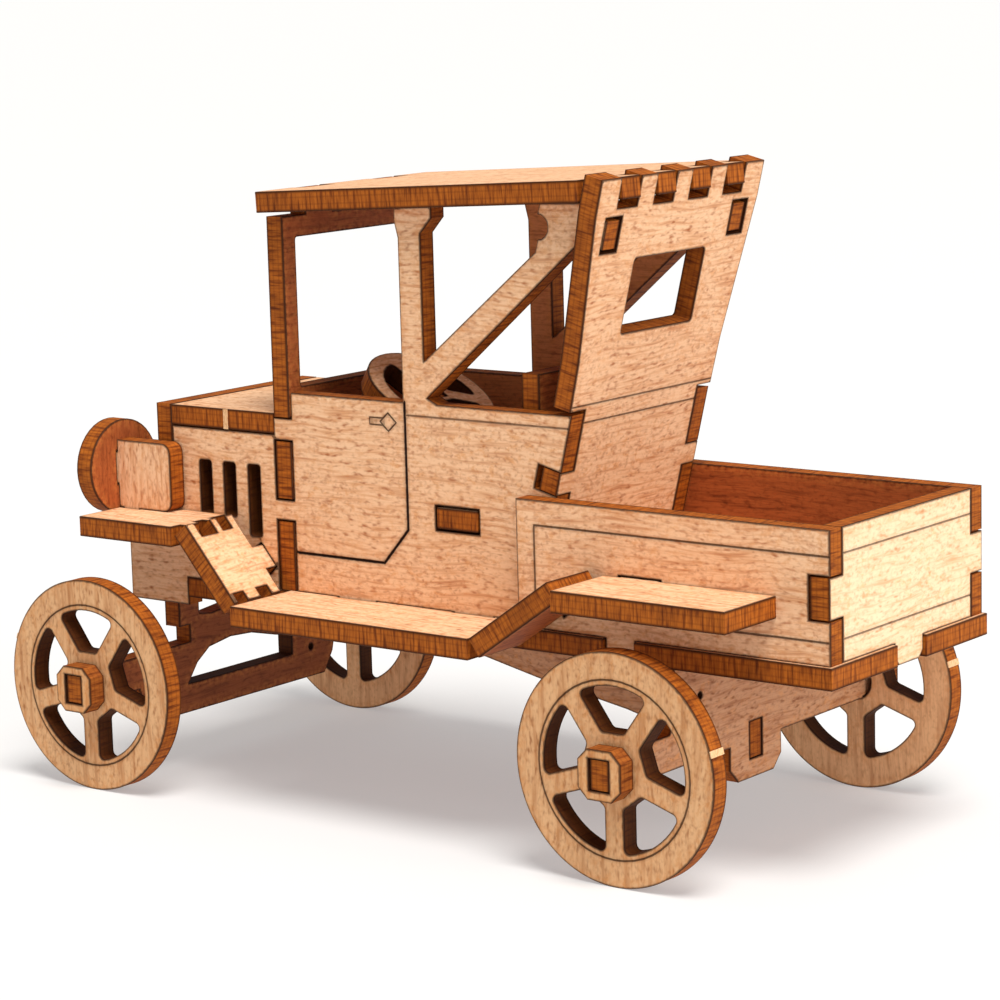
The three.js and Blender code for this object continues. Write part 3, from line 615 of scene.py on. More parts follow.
class CutWallTree(GeometryTree):
    """Roughens the cut walls of a sheet into the fine upright scallops of a pulsed cut."""

    TITLE = "cut_walls"
    INPUTS = {
        "Depth": ("NodeSocketFloat", 0.035 * MM),
        "Pitch": ("NodeSocketFloat", 0.55 * MM),
        "Through": ("NodeSocketVector", (0.0, 0.0, 1.0)),
        "Seed": ("NodeSocketInt", 0),
        "Material": ("NodeSocketMaterial", None),
    }

    def build(self) -> bpy.types.NodeSocket:
        """Moves the wall's points in and out by a noise that is even through the thickness.

        Returns:
            The socket of the roughened sheet.
        """
        bench = self.bench
        place = bench.node("GeometryNodeInputPosition").outputs[0]
        through = self.given["Through"]
        height = bench.node("ShaderNodeVectorMath", {"operation": "DOT_PRODUCT"},
                            {0: place, 1: through}).outputs["Value"]
        lift = bench.scaled(through, height)
        flat = bench.vector("SUBTRACT", place, lift)
        scaled = bench.scaled(flat, 1.0 / self.given["Pitch"])
        noise = bench.term(bench.node("ShaderNodeTexNoise", {"noise_dimensions": "4D"}, {
            "Vector": scaled, "W": self.given["Seed"], "Scale": 1.0, "Detail": 1.0,
        }))
        rim = bench.node("GeometryNodeInputNamedAttribute", {"data_type": "FLOAT"}, {"Name": "rim"})
        wall = bench.term(rim) < -PlySheet.ARRIS * 1.5
        push = (noise - 0.75).rise(-0.75, 0.25) * -1.0 * self.given["Depth"]
        normal = bench.node("GeometryNodeInputNormal").outputs[0]
        offset = bench.scaled(normal, push)
        moved = bench.node("GeometryNodeSetPosition", None, {
            "Geometry": self.source.outputs["Geometry"], "Selection": wall, "Offset": offset,
        })
        return moved.outputs[0]


class WheelBlankTree(GeometryTree):
    """Flat shape of a spoked wheel: a disc with a bore and one rounded opening between spokes."""

    TITLE = "wheel_blank"
    ARC_POINTS = 13
    INPUTS = {
        "Radius": ("NodeSocketFloat", 15.7),
        "Opening Radius": ("NodeSocketFloat", 11.2),
        "Hub Radius": ("NodeSocketFloat", 5.3),
        "Bore Radius": ("NodeSocketFloat", 2.58),
        "Spoke Half": ("NodeSocketFloat", 1.5),
        "Corner": ("NodeSocketFloat", 0.8),
        "Spokes": ("NodeSocketInt", 5),
        "Material": ("NodeSocketMaterial", None),
    }

    def build(self) -> bpy.types.NodeSocket:
        """Repeats one opening round the hub and fills the disc between the outlines.

        Returns:
            The socket of the flat wheel.
        """
        bench = self.bench
        spokes = self.given["Spokes"]
        turn = 2.0 * math.pi / spokes
        copies = bench.node("GeometryNodePoints", None, {"Count": spokes}).outputs[0]
        index = bench.term(bench.node("GeometryNodeInputIndex"))
        instances = bench.node("GeometryNodeInstanceOnPoints", None, {
            "Points": copies,
            "Instance": self._opening(turn),
            "Rotation": bench.combine(0.0, 0.0, index * turn - math.pi / 2),
        }).outputs[0]
        openings = bench.node("GeometryNodeRealizeInstances", None, {0: instances}).outputs[0]
        join = bench.node("GeometryNodeJoinGeometry")
        for outline in (openings, self._circle("Radius", 160), self._circle("Bore Radius", 40)):
            self.tree.links.new(outline, join.inputs[0])
        return bench.node("GeometryNodeFillCurve", None, {"Curve": join.outputs[0]}).outputs[0]

    def _circle(self, radius: str, resolution: int) -> bpy.types.NodeSocket:
        """A full circle with one of the tree's radii."""
        values = {"Resolution": resolution, "Radius": self.given[radius]}
        return self.bench.node("GeometryNodeCurvePrimitiveCircle", None, values).outputs[0]

    def _opening(self, turn: Term) -> bpy.types.NodeSocket:
        """Draws one opening: an arc outside, a short side towards the hub and rounded corners.

        Args:
            turn: Angle from one spoke to the next.

        Returns:
            The socket of the closed outline.
        """
        bench, given = self.bench, self.given
        last = self.ARC_POINTS - 1
        line = bench.node("GeometryNodeCurvePrimitiveLine").outputs[0]
        row = bench.node("GeometryNodeResampleCurve", None,
                         {"Curve": line, "Count": self.ARC_POINTS + 2}).outputs[0]
        index = bench.term(bench.node("GeometryNodeInputIndex"))
        outer = index < last + 0.5
        outer_trim = (given["Spoke Half"] / given["Opening Radius"]).arcsine()
        inner_trim = (given["Spoke Half"] / given["Hub Radius"]).arcsine()
        outer_angle = outer_trim + index / last * (turn - 2.0 * outer_trim)
        back = index - (last + 1)
        inner_angle = turn - inner_trim - back * (turn - 2.0 * inner_trim)
        angle = outer * outer_angle + (1.0 - outer) * inner_angle
        reach = outer * given["Opening Radius"] + (1.0 - outer) * given["Hub Radius"]
        placed = bench.node("GeometryNodeSetPosition", None, {
            "Geometry": row, "Position": bench.combine(reach * angle.cosine(), reach * angle.sine()),
        }).outputs[0]
        closed = bench.node("GeometryNodeSetSplineCyclic", None, {"Geometry": placed, "Cyclic": True})
        corner = (index < 0.5) + (index > last - 0.5)
        return bench.node("GeometryNodeFilletCurve", {"mode": "POLY"}, {
            "Curve": closed.outputs[0], "Count": 5, "Limit Radius": True,
            "Radius": corner * given["Corner"],
        }).outputs[0]


class BridgeNibTree(GeometryTree):
    """Broken-off bridges: a torn sliver of raw wood at each point, as thick as the sheet."""

    TITLE = "bridge_nibs"
    INPUTS = {
        "Width": ("NodeSocketFloat", 0.75 * MM),
        "Proud": ("NodeSocketFloat", 0.16 * MM),
        "Thickness": ("NodeSocketFloat", 2.9 * MM),
        "Tear": ("NodeSocketFloat", 0.09 * MM),
        "Seed": ("NodeSocketInt", 3),
        "Material": ("NodeSocketMaterial", None),
    }

    def build(self) -> bpy.types.NodeSocket:
        """Stands a block on each point, turned by the point's own axes, then tears its surface.

        Returns:
            The socket of the slivers.
        """
        bench, given = self.bench, self.given
        size = bench.combine(given["Proud"] * 2.0, given["Width"], given["Thickness"])
        block = bench.node("GeometryNodeMeshCube", None, {
            "Size": size, "Vertices X": 3, "Vertices Y": 6, "Vertices Z": 12,
        }).outputs[0]
        axes = [bench.node("GeometryNodeInputNamedAttribute", {"data_type": "FLOAT_VECTOR"},
                           {"Name": name}).outputs[0] for name in ("out", "through")]
        turned = bench.node("FunctionNodeAxesToRotation", {"primary_axis": "X", "secondary_axis": "Z"},
                            {0: axes[0], 1: axes[1]}).outputs[0]
        stretch = bench.node("FunctionNodeRandomValue", {"data_type": "FLOAT"}, {
            "Min_001": 0.75, "Max_001": 1.25, "Seed": given["Seed"],
        })
        spread = bench.combine(1.0, Term(bench, stretch.outputs[1]), 1.0)
        nibs = bench.node("GeometryNodeInstanceOnPoints", None, {
            "Points": self.source.outputs["Geometry"], "Instance": block, "Rotation": turned,
            "Scale": spread,
        }).outputs[0]
        solid = bench.node("GeometryNodeRealizeInstances", None, {0: nibs}).outputs[0]
        place = bench.node("GeometryNodeInputPosition").outputs[0]
        tearing = bench.node("ShaderNodeTexNoise", {"noise_dimensions": "3D"}, {
            "Vector": place, "Scale": 2600.0, "Detail": 2.0,
        })
        normal = bench.node("GeometryNodeInputNormal").outputs[0]
        push = (bench.term(tearing) - 0.5) * given["Tear"]
        offset = bench.scaled(normal, push)
        return bench.node("GeometryNodeSetPosition", None,
                          {"Geometry": solid, "Offset": offset}).outputs[0]


# ------------------------------------------------------------------ flat outlines
def signed_area(loop: Loop) -> float:
    """Area of a loop, positive when it runs anticlockwise."""
    a, b = loop[:, 0], loop[:, 1]
    return 0.5 * float(np.sum(a * np.roll(b, -1) - np.roll(a, -1) * b))


def without_straight_corners(loop: Loop) -> Loop:
    """Drops corners that lie on a straight stretch.

    Args:
        loop: Closed outline.

    Returns:
        The outline with only its real corners.
    """
    before = loop - np.roll(loop, 1, axis=0)
    after = np.roll(loop, -1, axis=0) - loop
    turn = np.abs(before[:, 0] * after[:, 1] - before[:, 1] * after[:, 0])
    sizes = np.hypot(*before.T) * np.hypot(*after.T)
    return loop[turn > 2e-3 * np.maximum(sizes, 1e-9)]


def resampled(loop: np.ndarray, pitch: float, closed: bool = True) -> np.ndarray:
    """Splits each stretch of a line into equal steps.

    Args:
        loop: The line's corners.
        pitch: Longest step.
        closed: Whether the last corner joins the first.

    Returns:
        The line with its new points.
    """
    ends = np.roll(loop, -1, axis=0) if closed else loop[1:]
    points = []
    for start, end in zip(loop, ends):
        steps = max(1, math.ceil(float(np.hypot(*(end - start))) / pitch))
        shares = np.arange(steps)[:, None] / steps
        points.append(start + (end - start) * shares)
    if not closed:
        points.append(loop[-1:])
    return np.concatenate(points)


def offset_line(line: np.ndarray, distance: float, closed: bool = True) -> np.ndarray:
    """Moves a line to its left, with mitred corners.

    Args:
        line: The line's points.
        distance: How far it moves.
        closed: Whether the last point joins the first.

    Returns:
        The moved points.
    """
    if closed:
        before = line - np.roll(line, 1, axis=0)
        after = np.roll(line, -1, axis=0) - line
    else:
        steps = np.diff(line, axis=0)
        before = np.concatenate([steps[:1], steps])
        after = np.concatenate([steps, steps[-1:]])
    left = [np.stack([-d[:, 1], d[:, 0]], axis=1) / np.hypot(*d.T)[:, None] for d in (before, after)]
    mitre = np.maximum(1.0 + np.sum(left[0] * left[1], axis=1), 0.4)
    return line + distance * (left[0] + left[1]) / mitre[:, None]


def distance_to_line(points: np.ndarray, starts: np.ndarray, ends: np.ndarray) -> np.ndarray:
    """Measures how far points lie from many straight stretches.

    Args:
        points: The points.
        starts, ends: Both ends of each stretch.

    Returns:
        Distance from each point to the nearest stretch.
    """
    nearest = np.full(len(points), 1e6)
    for first in range(0, len(starts), 128):
        start = starts[None, first:first + 128]
        step = ends[None, first:first + 128] - start
        gap = points[:, None] - start
        share = np.sum(gap * step, axis=2) / np.maximum(np.sum(step * step, axis=2), 1e-12)
        gap = gap - np.clip(share, 0.0, 1.0)[..., None] * step
        nearest = np.minimum(nearest, np.sqrt(np.sum(gap * gap, axis=2)).min(axis=1))
    return nearest


def inside(points: np.ndarray, loops: Sequence[Loop]) -> np.ndarray:
    """Finds the points inside the outer loop and outside the holes.

    Args:
        points: The points.
        loops: Outer loop and holes, in any order.

    Returns:
        True for each point inside.
    """
    crossed = np.zeros(len(points), bool)
    for loop in loops:
        ends = np.roll(loop, -1, axis=0)
        for (a0, b0), (a1, b1) in zip(loop, ends):
            straddles = (b0 > points[:, 1]) != (b1 > points[:, 1])
            if b1 != b0:
                reach = a0 + (points[:, 1] - b0) * (a1 - a0) / (b1 - b0)
                crossed ^= straddles & (points[:, 0] < reach)
    return crossed


def outline_loops(bm: bmesh.types.BMesh, faces: set[bmesh.types.BMFace],
                  axes: tuple[Vector, Vector]) -> list[Loop]:
    """Walks the border of a set of faces.

    Args:
        bm: Mesh that holds the faces, in any unit.
        faces: Faces in one plane.
        axes: The plane's two axes.

    Returns:
        The closed loops along the two axes, with the faces on their left.
    """
    following = {}
    for face in faces:
        for corner in face.loops:
            if sum(other in faces for other in corner.edge.link_faces) == 1:
                following[corner.vert] = corner.link_loop_next.vert
    loops = []
    while following:
        start, current = following.popitem()
        walk = [start]
        while current is not start:
            walk.append(current)
            current = following.pop(current)
        loops.append(np.array([[v.co.dot(axes[0]), v.co.dot(axes[1])] for v in walk]))
    return loops


# ------------------------------------------------------------------ plywood sheets
@dataclass(frozen=True)
class Stroke:
    """A burnt-in line on a sheet's good side.

    Points are (place along the truck or across it, height), in millimetres.
    """

    points: tuple[tuple[float, float], ...]
    width: float = 0.26
    burn: float = 0.6
    closed: bool = False


@dataclass(frozen=True)
class SheetPlan:
    """What a sheet is cut from and how it lies."""

    node: str
    good_side: Side
    grain: Side
    body: str = "chassis"
    strokes: tuple[Stroke, ...] = ()
    seed: int = 0
    finish: str = ""  # left empty, the finish of the solid's material slot


@dataclass
class PlySheet:
    """One sheet of three-ply, made again from the outline of its solid in the frame."""

    plan: SheetPlan
    blank: list[Loop] | None = None
    wall_pitch: float = 0.5
    face_pitch: float = 0.95
    groove_depth: float = 0.16
    loops: list[Loop] = field(default_factory=list)

    UV_NAME = "sheet"
    ARRIS = 0.09  # softening of each edge
    STROKE_STEP = 0.5  # longest step along a burnt-in line
    STROKE_CLEAR = 0.25  # distance from a cut within which a line has no edges of its own
    POINT_CLEAR = 0.35  # distance from a line within which there are no loose points
    FAR = 9.0  # groove value of a point away from every line
    SMALL_HOLE = 120.0  # square millimetres, under which a hole's walls get heavy painted shade
    SHARP = 24.0  # degrees between faces from which an edge stays sharp
    WALL_LEVELS = (0.42,)  # depths of extra rows of points below each arris
    SCORCH = 0.48  # distance from a cut at which its char line has faded

    def __post_init__(self) -> None:
        """Reads the sheet's plane, thickness and outline from its solid."""
        bm = bmesh.new()
        bm.from_mesh(frame["nodes"][self.plan.node].data)
        bmesh.ops.remove_doubles(bm, verts=bm.verts, dist=2e-6)
        bmesh.ops.scale(bm, vec=(1 / MM,) * 3, verts=bm.verts)
        bm.normal_update()
        self.normal = self._widest_direction(bm)
        grain = self.plan.grain.vector
        self.along = (grain - self.normal * grain.dot(self.normal)).normalized()
        self.across = self.normal.cross(self.along)
        levels = [v.co.dot(self.normal) for v in bm.verts]
        self.top, self.thickness = max(levels), max(levels) - min(levels)
        lid = {
            face for face in bm.faces
            if face.normal.dot(self.normal) > 0.99
            and face.calc_center_median().dot(self.normal) > self.top - 0.01
        }
        loops = outline_loops(bm, lid, (self.along, self.across)) if self.blank is None else self.blank
        self.loops = [resampled(without_straight_corners(lp), self.wall_pitch) for lp in loops]
        bm.free()

    def _widest_direction(self, bm: bmesh.types.BMesh) -> Vector:
        """Finds the normal of the sheet's broad faces, on its good side.

        Args:
            bm: The solid's mesh.

        Returns:
            The unit normal.
        """
        hint = self.plan.good_side.vector
        totals: dict[tuple[float, ...], float] = {}
        for face in bm.faces:
            if face.normal.dot(hint) > 0.2:
                key = tuple(round(c, 3) for c in face.normal)
                totals[key] = totals.get(key, 0.0) + face.calc_area()
        return Vector(max(totals, key=totals.get)).normalized()

    def on_plane(self, place: float, height: float) -> tuple[float, float]:
        """Finds a spot in the sheet's plane.

        Args:
            place: Along the truck for an upright side sheet, across it for any other.
            height: Height above the ground.

        Returns:
            The spot along the grain and across it.
        """
        level = Vector((1, 0, 0)) if abs(self.normal.y) > 0.5 else Vector((0, 1, 0))
        upright = self.normal.cross(level).normalized()
        foot = self.normal * self.top
        spot = foot + level * place + upright * ((height - foot.z) / upright.z)
        return spot.dot(self.along), spot.dot(self.across)

    def _stroke_lines(self) -> list[tuple[Stroke, np.ndarray]]:
        """Lays the strokes in the sheet's plane.

        Returns:
            Each stroke with its finely stepped line.
        """
        lines = []
        for stroke in self.plan.strokes:
            corners = np.array([self.on_plane(*point) for point in stroke.points])
            lines.append((stroke, resampled(corners, self.STROKE_STEP, stroke.closed)))
        return lines

    def _triangulate(self, lines: list[tuple[Stroke, np.ndarray]]) -> tuple[np.ndarray, list, list]:
        """Covers the sheet with triangles that follow its outline and its strokes.

        Args:
            lines: Strokes with their lines in the sheet's plane.

        Returns:
            Points, triangles and, for each loop, the points along it.
        """
        rims = [offset_line(loop, self.ARRIS) for loop in self.loops]
        starts = np.concatenate(self.loops)
        ends = np.concatenate([np.roll(loop, -1, axis=0) for loop in self.loops])
        points: list[np.ndarray] = []
        edges: list[tuple[int, int]] = []
        rings: list[range] = []
        total = 0
        for rim in rims:
            ring = range(total, total + len(rim))
            edges += [(ring[i], ring[(i + 1) % len(ring)]) for i in range(len(ring))]
            rings.append(ring)
            points.append(rim)
            total += len(rim)
        for stroke, line in lines:
            for shift in (-0.5, 0.0, 0.5):
                row = offset_line(line, shift * stroke.width, stroke.closed)
                clear = inside(row, rims) & (distance_to_line(row, starts, ends) > self.STROKE_CLEAR)
                count = len(row)
                edges += [
                    (total + i, total + (i + 1) % count)
                    for i in range(count if stroke.closed else count - 1)
                    if clear[i] and clear[(i + 1) % count]
                ]
                points.append(row)
                total += count
        used = {i for edge in edges for i in edge} | {i for ring in rings for i in ring}
        grid = np.concatenate([self._inner_ring(rims, starts, ends, lines),
                               self._grid(rims, starts, ends, lines)])
        kept = np.array([i in used for i in range(total)] + [True] * len(grid))
        everything = np.concatenate([*points, grid])
        renumber = np.cumsum(kept) - 1
        edges = [(int(renumber[i]), int(renumber[j])) for i, j in edges]
        spots = [Vector(p) for p in everything[kept]]
        out, _, faces, origins, _, _ = delaunay_2d_cdt(spots, edges, [], 0, 1e-5, True)
        flat = np.array([[p.x, p.y] for p in out])
        place = {source: i for i, sources in enumerate(origins) for source in sources}
        triangles = np.array([f[:3] for f in faces])
        middles = flat[triangles].mean(axis=1)
        triangles = triangles[inside(middles, rims)]
        corners = flat[triangles]
        first, second = corners[:, 1] - corners[:, 0], corners[:, 2] - corners[:, 0]
        clockwise = first[:, 0] * second[:, 1] - first[:, 1] * second[:, 0] < 0
        triangles[clockwise] = triangles[clockwise][:, ::-1]
        borders = [[place[int(renumber[i])] for i in ring] for ring in rings]
        return flat, triangles.tolist(), borders

    def _inner_ring(self, rims: list[Loop], starts: np.ndarray, ends: np.ndarray,
                    lines: list[tuple[Stroke, np.ndarray]]) -> np.ndarray:
        """Adds points that follow each border a little way in, so that its char line stays even.

        Args:
            rims: Borders of the face.
            starts, ends: Both ends of each stretch of the outline.
            lines: Strokes with their lines.

        Returns:
            The points clear of the other borders and the lines.
        """
        ring = np.concatenate([offset_line(loop, self.SCORCH) for loop in self.loops])
        clear = inside(ring, rims) & (distance_to_line(ring, starts, ends) > 0.9 * self.SCORCH)
        for _, line in lines:
            clear &= distance_to_line(ring, line[:-1], line[1:]) > self.POINT_CLEAR
        return ring[clear]

    def _grid(self, rims: list[Loop], starts: np.ndarray, ends: np.ndarray,
              lines: list[tuple[Stroke, np.ndarray]]) -> np.ndarray:
        """Adds loose points inside the outline, which carry the distances to cuts and strokes.

        Args:
            rims: Borders of the face.
            starts, ends: Both ends of each stretch of the outline.
            lines: Strokes with their lines.

        Returns:
            The points clear of the borders and the lines.
        """
        low, high = starts.min(axis=0), starts.max(axis=0)
        steps = [np.arange(low[k], high[k], self.face_pitch) for k in (0, 1)]
        grid = np.stack(np.meshgrid(*steps), axis=-1).reshape(-1, 2)
        shake = np.random.default_rng(self.plan.seed).uniform(-0.2, 0.2, grid.shape)
        grid = grid + shake * self.face_pitch
        clear = inside(grid, rims) & (distance_to_line(grid, starts, ends) > 1.5 * self.SCORCH)
        for _, line in lines:
            clear &= distance_to_line(grid, line[:-1], line[1:]) > self.POINT_CLEAR
        return grid[clear]

    def _engraving(self, flat: np.ndarray, lines: list[tuple[Stroke, np.ndarray]]) -> dict[str, Any]:
        """Works out how the strokes mark each point.

        Args:
            flat: Points of the face.
            lines: Strokes with their lines.

        Returns:
            Distance to the nearest stroke in half widths, its burn, and the groove's depth.
        """
        groove = np.full(len(flat), self.FAR)
        burn = np.zeros(len(flat))
        for stroke, line in lines:
            ends = np.roll(line, -1, axis=0) if stroke.closed else line[1:]
            starts = line if stroke.closed else line[:-1]
            away = distance_to_line(flat, starts, ends) / (stroke.width / 2)
            nearer = away < groove
            groove[nearer] = away[nearer]
            burn[nearer] = stroke.burn
        depth = self.groove_depth * burn * np.clip(1.0 - groove, 0.0, 1.0)
        return {"groove": groove, "burn": burn, "depth": depth}

    @classmethod
    def _hole_shade(cls, area: float) -> float:
        """Works out how much painted shade darkens a cut wall: most in a small opening.

        Args:
            area: Area of the loop, negative for a hole.

        Returns:
            The painted shade, from 0 to 1.
        """
        if area > 0.0:
            return 0.0
        return 0.9 if -area < cls.SMALL_HOLE else 0.12

    def mesh(self, material: bpy.types.Material, walls: CutWallTree) -> bpy.types.Mesh:
        """Builds the closed mesh of the sheet.

        Args:
            material: The sheet's finish.
            walls: Tree that roughens the cut walls.

        Returns:
            The finished mesh, in metres, in the frame.
        """
        lines = self._stroke_lines()
        flat, triangles, borders = self._triangulate(lines)
        marks = self._engraving(flat, lines)
        half = self.thickness / 2
        starts = np.concatenate(self.loops)
        ends = np.concatenate([np.roll(loop, -1, axis=0) for loop in self.loops])
        rim = np.maximum(distance_to_line(flat, starts, ends), self.ARRIS)
        count = len(flat)
        levels = [half - marks["depth"], np.full(count, -half)]
        rows = [np.column_stack([flat, level]) for level in levels]
        rims, hole_shades = [rim, rim], [np.zeros(2 * count)]
        grooves = [marks["groove"], np.full(count, self.FAR)]
        burns, backs = [marks["burn"], np.zeros(count)], [np.zeros(count), np.ones(count)]
        faces = list(triangles) + [[count + i for i in reversed(t)] for t in triangles]
        coords = [[tuple(flat[i]) for i in t] for t in triangles]
        coords += [[tuple(flat[i]) for i in reversed(t)] for t in triangles]
        depths = [self.ARRIS, *self.WALL_LEVELS, half]
        heights = [half - d for d in depths] + [d - half for d in reversed(depths[:-1])]
        total = 2 * count
        for loop, border in zip(self.loops, borders):
            size = len(loop)
            # painted shade for this loop's wall, by the size of its hole
            hole_shade = self._hole_shade(signed_area(loop))
            run = np.concatenate([[0.0], np.cumsum(np.hypot(*(np.roll(loop, -1, axis=0) - loop).T))])
            belts = [list(border)]
            for height in heights:
                rows.append(np.column_stack([loop, np.full(size, height)]))
                rims.append(np.full(size, abs(height) - half))
                grooves.append(np.full(size, self.FAR))
                burns.append(np.zeros(size))
                backs.append(np.zeros(size))
                hole_shades.append(np.full(size, hole_shade))
                belts.append(list(range(total, total + size)))
                total += size
            belts.append([count + i for i in border])
            belt_heights = [half, *heights, -half]
            for level in range(len(belts) - 1):
                upper, lower = belts[level], belts[level + 1]
                high, low = belt_heights[level], belt_heights[level + 1]
                for i in range(size):
                    j = (i + 1) % size
                    faces.append([upper[i], lower[i], lower[j], upper[j]])
                    here, there = run[i], run[i + 1]
                    coords.append([(here, high), (here, low), (there, low), (there, high)])
        mesh = bpy.data.meshes.new(self.plan.node)
        middle = self.top - half
        basis = np.array([self.along, self.across, self.normal])
        places = (np.concatenate(rows) + (0.0, 0.0, middle)) @ basis * MM
        mesh.from_pydata(places.tolist(), [], faces)
        layers = {"rim": rims, "groove": grooves, "burn": burns, "back": backs, "hole_shade": hole_shades}
        for name, parts in layers.items():
            layer = mesh.attributes.new(name, "FLOAT", "POINT")
            layer.data.foreach_set("value", np.concatenate(parts).astype(np.float32))
        shift = np.random.default_rng(self.plan.seed + 50).uniform(0.0, 8.0, 2) * (1.0, 0.0)
        uv = mesh.uv_layers.new(name=self.UV_NAME)
        flat_uv = np.array([c for face in coords for c in face]) / UV_UNIT + shift
        uv.data.foreach_set("uv", flat_uv.astype(np.float32).ravel())
        baked = walls.bake(self.plan.node + "_ply", mesh, Through=tuple(self.normal),
                           Seed=self.plan.seed, Material=material)
        baked.polygons.foreach_set("use_smooth", [True] * len(baked.polygons))
        baked.set_sharp_from_angle(angle=math.radians(self.SHARP))
        return baked


# ------------------------------------------------------------------ workshop shared by the assemblies
@dataclass
class Workshop:
    """Finishes, geometry trees and the bookkeeping that every sub-assembly uses."""

    finishes: dict[str, bpy.types.Material]
    walls: CutWallTree
    wheel_blank: WheelBlankTree
    nibs: BridgeNibTree

    def cut(self, plan: SheetPlan, blank: list[Loop] | None = None) -> bpy.types.Object:
        """Makes one sheet and puts it in place of its solid.

        Args:
            plan: The sheet's plan.
            blank: Outline to use instead of the solid's own.

        Returns:
            The finished piece.
        """
        slot = next(s["material_slot"] for s in frame["record"]["subparts"] if s["node"] == plan.node)
        sheet = PlySheet(plan, blank)
        mesh = sheet.mesh(self.finishes[plan.finish or slot], self.walls)
        piece = bpy.data.objects.new(plan.node + "_ply", mesh)
        bpy.context.scene.collection.objects.link(piece)
        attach(piece, plan.body)
        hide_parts(plan.node)
        log.info("%s: %d faces on body %s", piece.name, len(mesh.polygons), plan.body)
        return piece


def box_mm(node: str) -> tuple[Vector, Vector]:
    """Lowest and highest corner of a solid, in millimetres."""
    low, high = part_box(node)
    return low / MM, high / MM


def both_hands(stem: str) -> Iterable[tuple[str, Side]]:
    """The left and right node names of a pair, each with its outward side."""
    return ((stem + "_left", Side.LEFT), (stem + "_right", Side.RIGHT))


@dataclass
class Chassis:
    """Deck with its running boards, the two axle sheets and the spine below it."""

    workshop: Workshop

    def build(self) -> None:
        """Cuts the four sheets."""
        self.workshop.cut(SheetPlan("deck", Side.UP, Side.FRONT, seed=1))
        self.workshop.cut(SheetPlan("front_axle_plate", Side.FRONT, Side.LEFT, seed=2))
        self.workshop.cut(SheetPlan("rear_axle_plate", Side.REAR, Side.LEFT, seed=3))
        self.workshop.cut(SheetPlan("chassis_spine", Side.LEFT, Side.FRONT, seed=4))


@dataclass
class Cab:
    """Body sides with their burnt-in doors, bonnet, windscreen, leaning back, roof and seat."""

    workshop: Workshop
    door_rear: float = 21.2  # from the windscreen back to the door's rear edge
    door_low: float = 5.8  # bottom of the door above the deck
    door_bend: float = 10.9  # height above the deck at which the rear edge turns in
    door_foot: float = 16.7  # from the windscreen back to where the bottom edge starts
    belt: float = 27.2  # belt line above the deck
    back_lines: tuple[float, float] = (27.6, 30.1)  # lines across the cab back, above the deck
    handle_rear: float = 19.6  # from the windscreen back to the rear tip of the handle

    def build(self) -> None:
        """Cuts the sheets of the cab."""
        cut = self.workshop.cut
        for number, (node, side) in enumerate(both_hands("body_side")):
            cut(SheetPlan(node, side, Side.FRONT, strokes=self._side_strokes(), seed=10 + number,
                          finish="plywood_cab_side"))
        cut(SheetPlan("radiator_plate", Side.FRONT, Side.LEFT, seed=12))
        cut(SheetPlan("bonnet_top", Side.UP, Side.FRONT, seed=13))
        cut(SheetPlan("windscreen_frame", Side.FRONT, Side.LEFT, seed=14))
        cut(SheetPlan("cab_back", Side.REAR, Side.LEFT, strokes=self._back_strokes(), seed=15))
        cut(SheetPlan("roof", Side.UP, Side.FRONT, seed=16))
        cut(SheetPlan("seat_base", Side.UP, Side.LEFT, seed=17))
        cut(SheetPlan("seat_back", Side.FRONT, Side.LEFT, seed=18))
        cut(SheetPlan("steering_column", Side.LEFT, Side.FRONT, seed=19))
        cut(SheetPlan("steering_wheel", Side.UP_REAR, Side.LEFT, seed=20))

    def _side_strokes(self) -> tuple[Stroke, ...]:
        """Draws the door, the belt line and the handle from the windscreen and the deck.

        Returns:
            The strokes of a body side.
        """
        screen = box_mm("windscreen_frame")[0].x
        deck = box_mm("deck")[1].z
        side_low = box_mm("body_side_left")[0].x
        rear = screen - self.door_rear
        belt = deck + self.belt
        door = Stroke((
            (rear, deck + 29.0), (rear, deck + self.door_bend),
            (screen - self.door_foot, deck + self.door_low), (screen - 0.2, deck + self.door_low),
        ), width=0.5, burn=1.0)
        line = Stroke(((rear - 0.3, belt), (side_low, belt)), width=0.34, burn=0.6)
        tip = screen - self.handle_rear
        level = deck + 26.0
        knob = Stroke((
            (tip, level), (tip + 1.45, level - 1.3), (tip + 2.9, level), (tip + 1.45, level + 1.3),
        ), width=0.3, burn=0.8, closed=True)
        lever = Stroke((
            (tip + 2.6, level - 0.5), (tip + 4.8, level - 0.5),
            (tip + 4.8, level + 0.5), (tip + 2.6, level + 0.5),
        ), width=0.28, burn=0.75)
        return door, line, knob, lever

    def _back_strokes(self) -> tuple[Stroke, ...]:
        """Draws two level lines across the cab back.

        Returns:
            The strokes of the cab back.
        """
        deck = box_mm("deck")[1].z
        half = box_mm("body_side_left")[1].y
        return tuple(
            Stroke(((-half, deck + height), (half, deck + height)), width=0.32, burn=0.65)
            for height in self.back_lines
        )


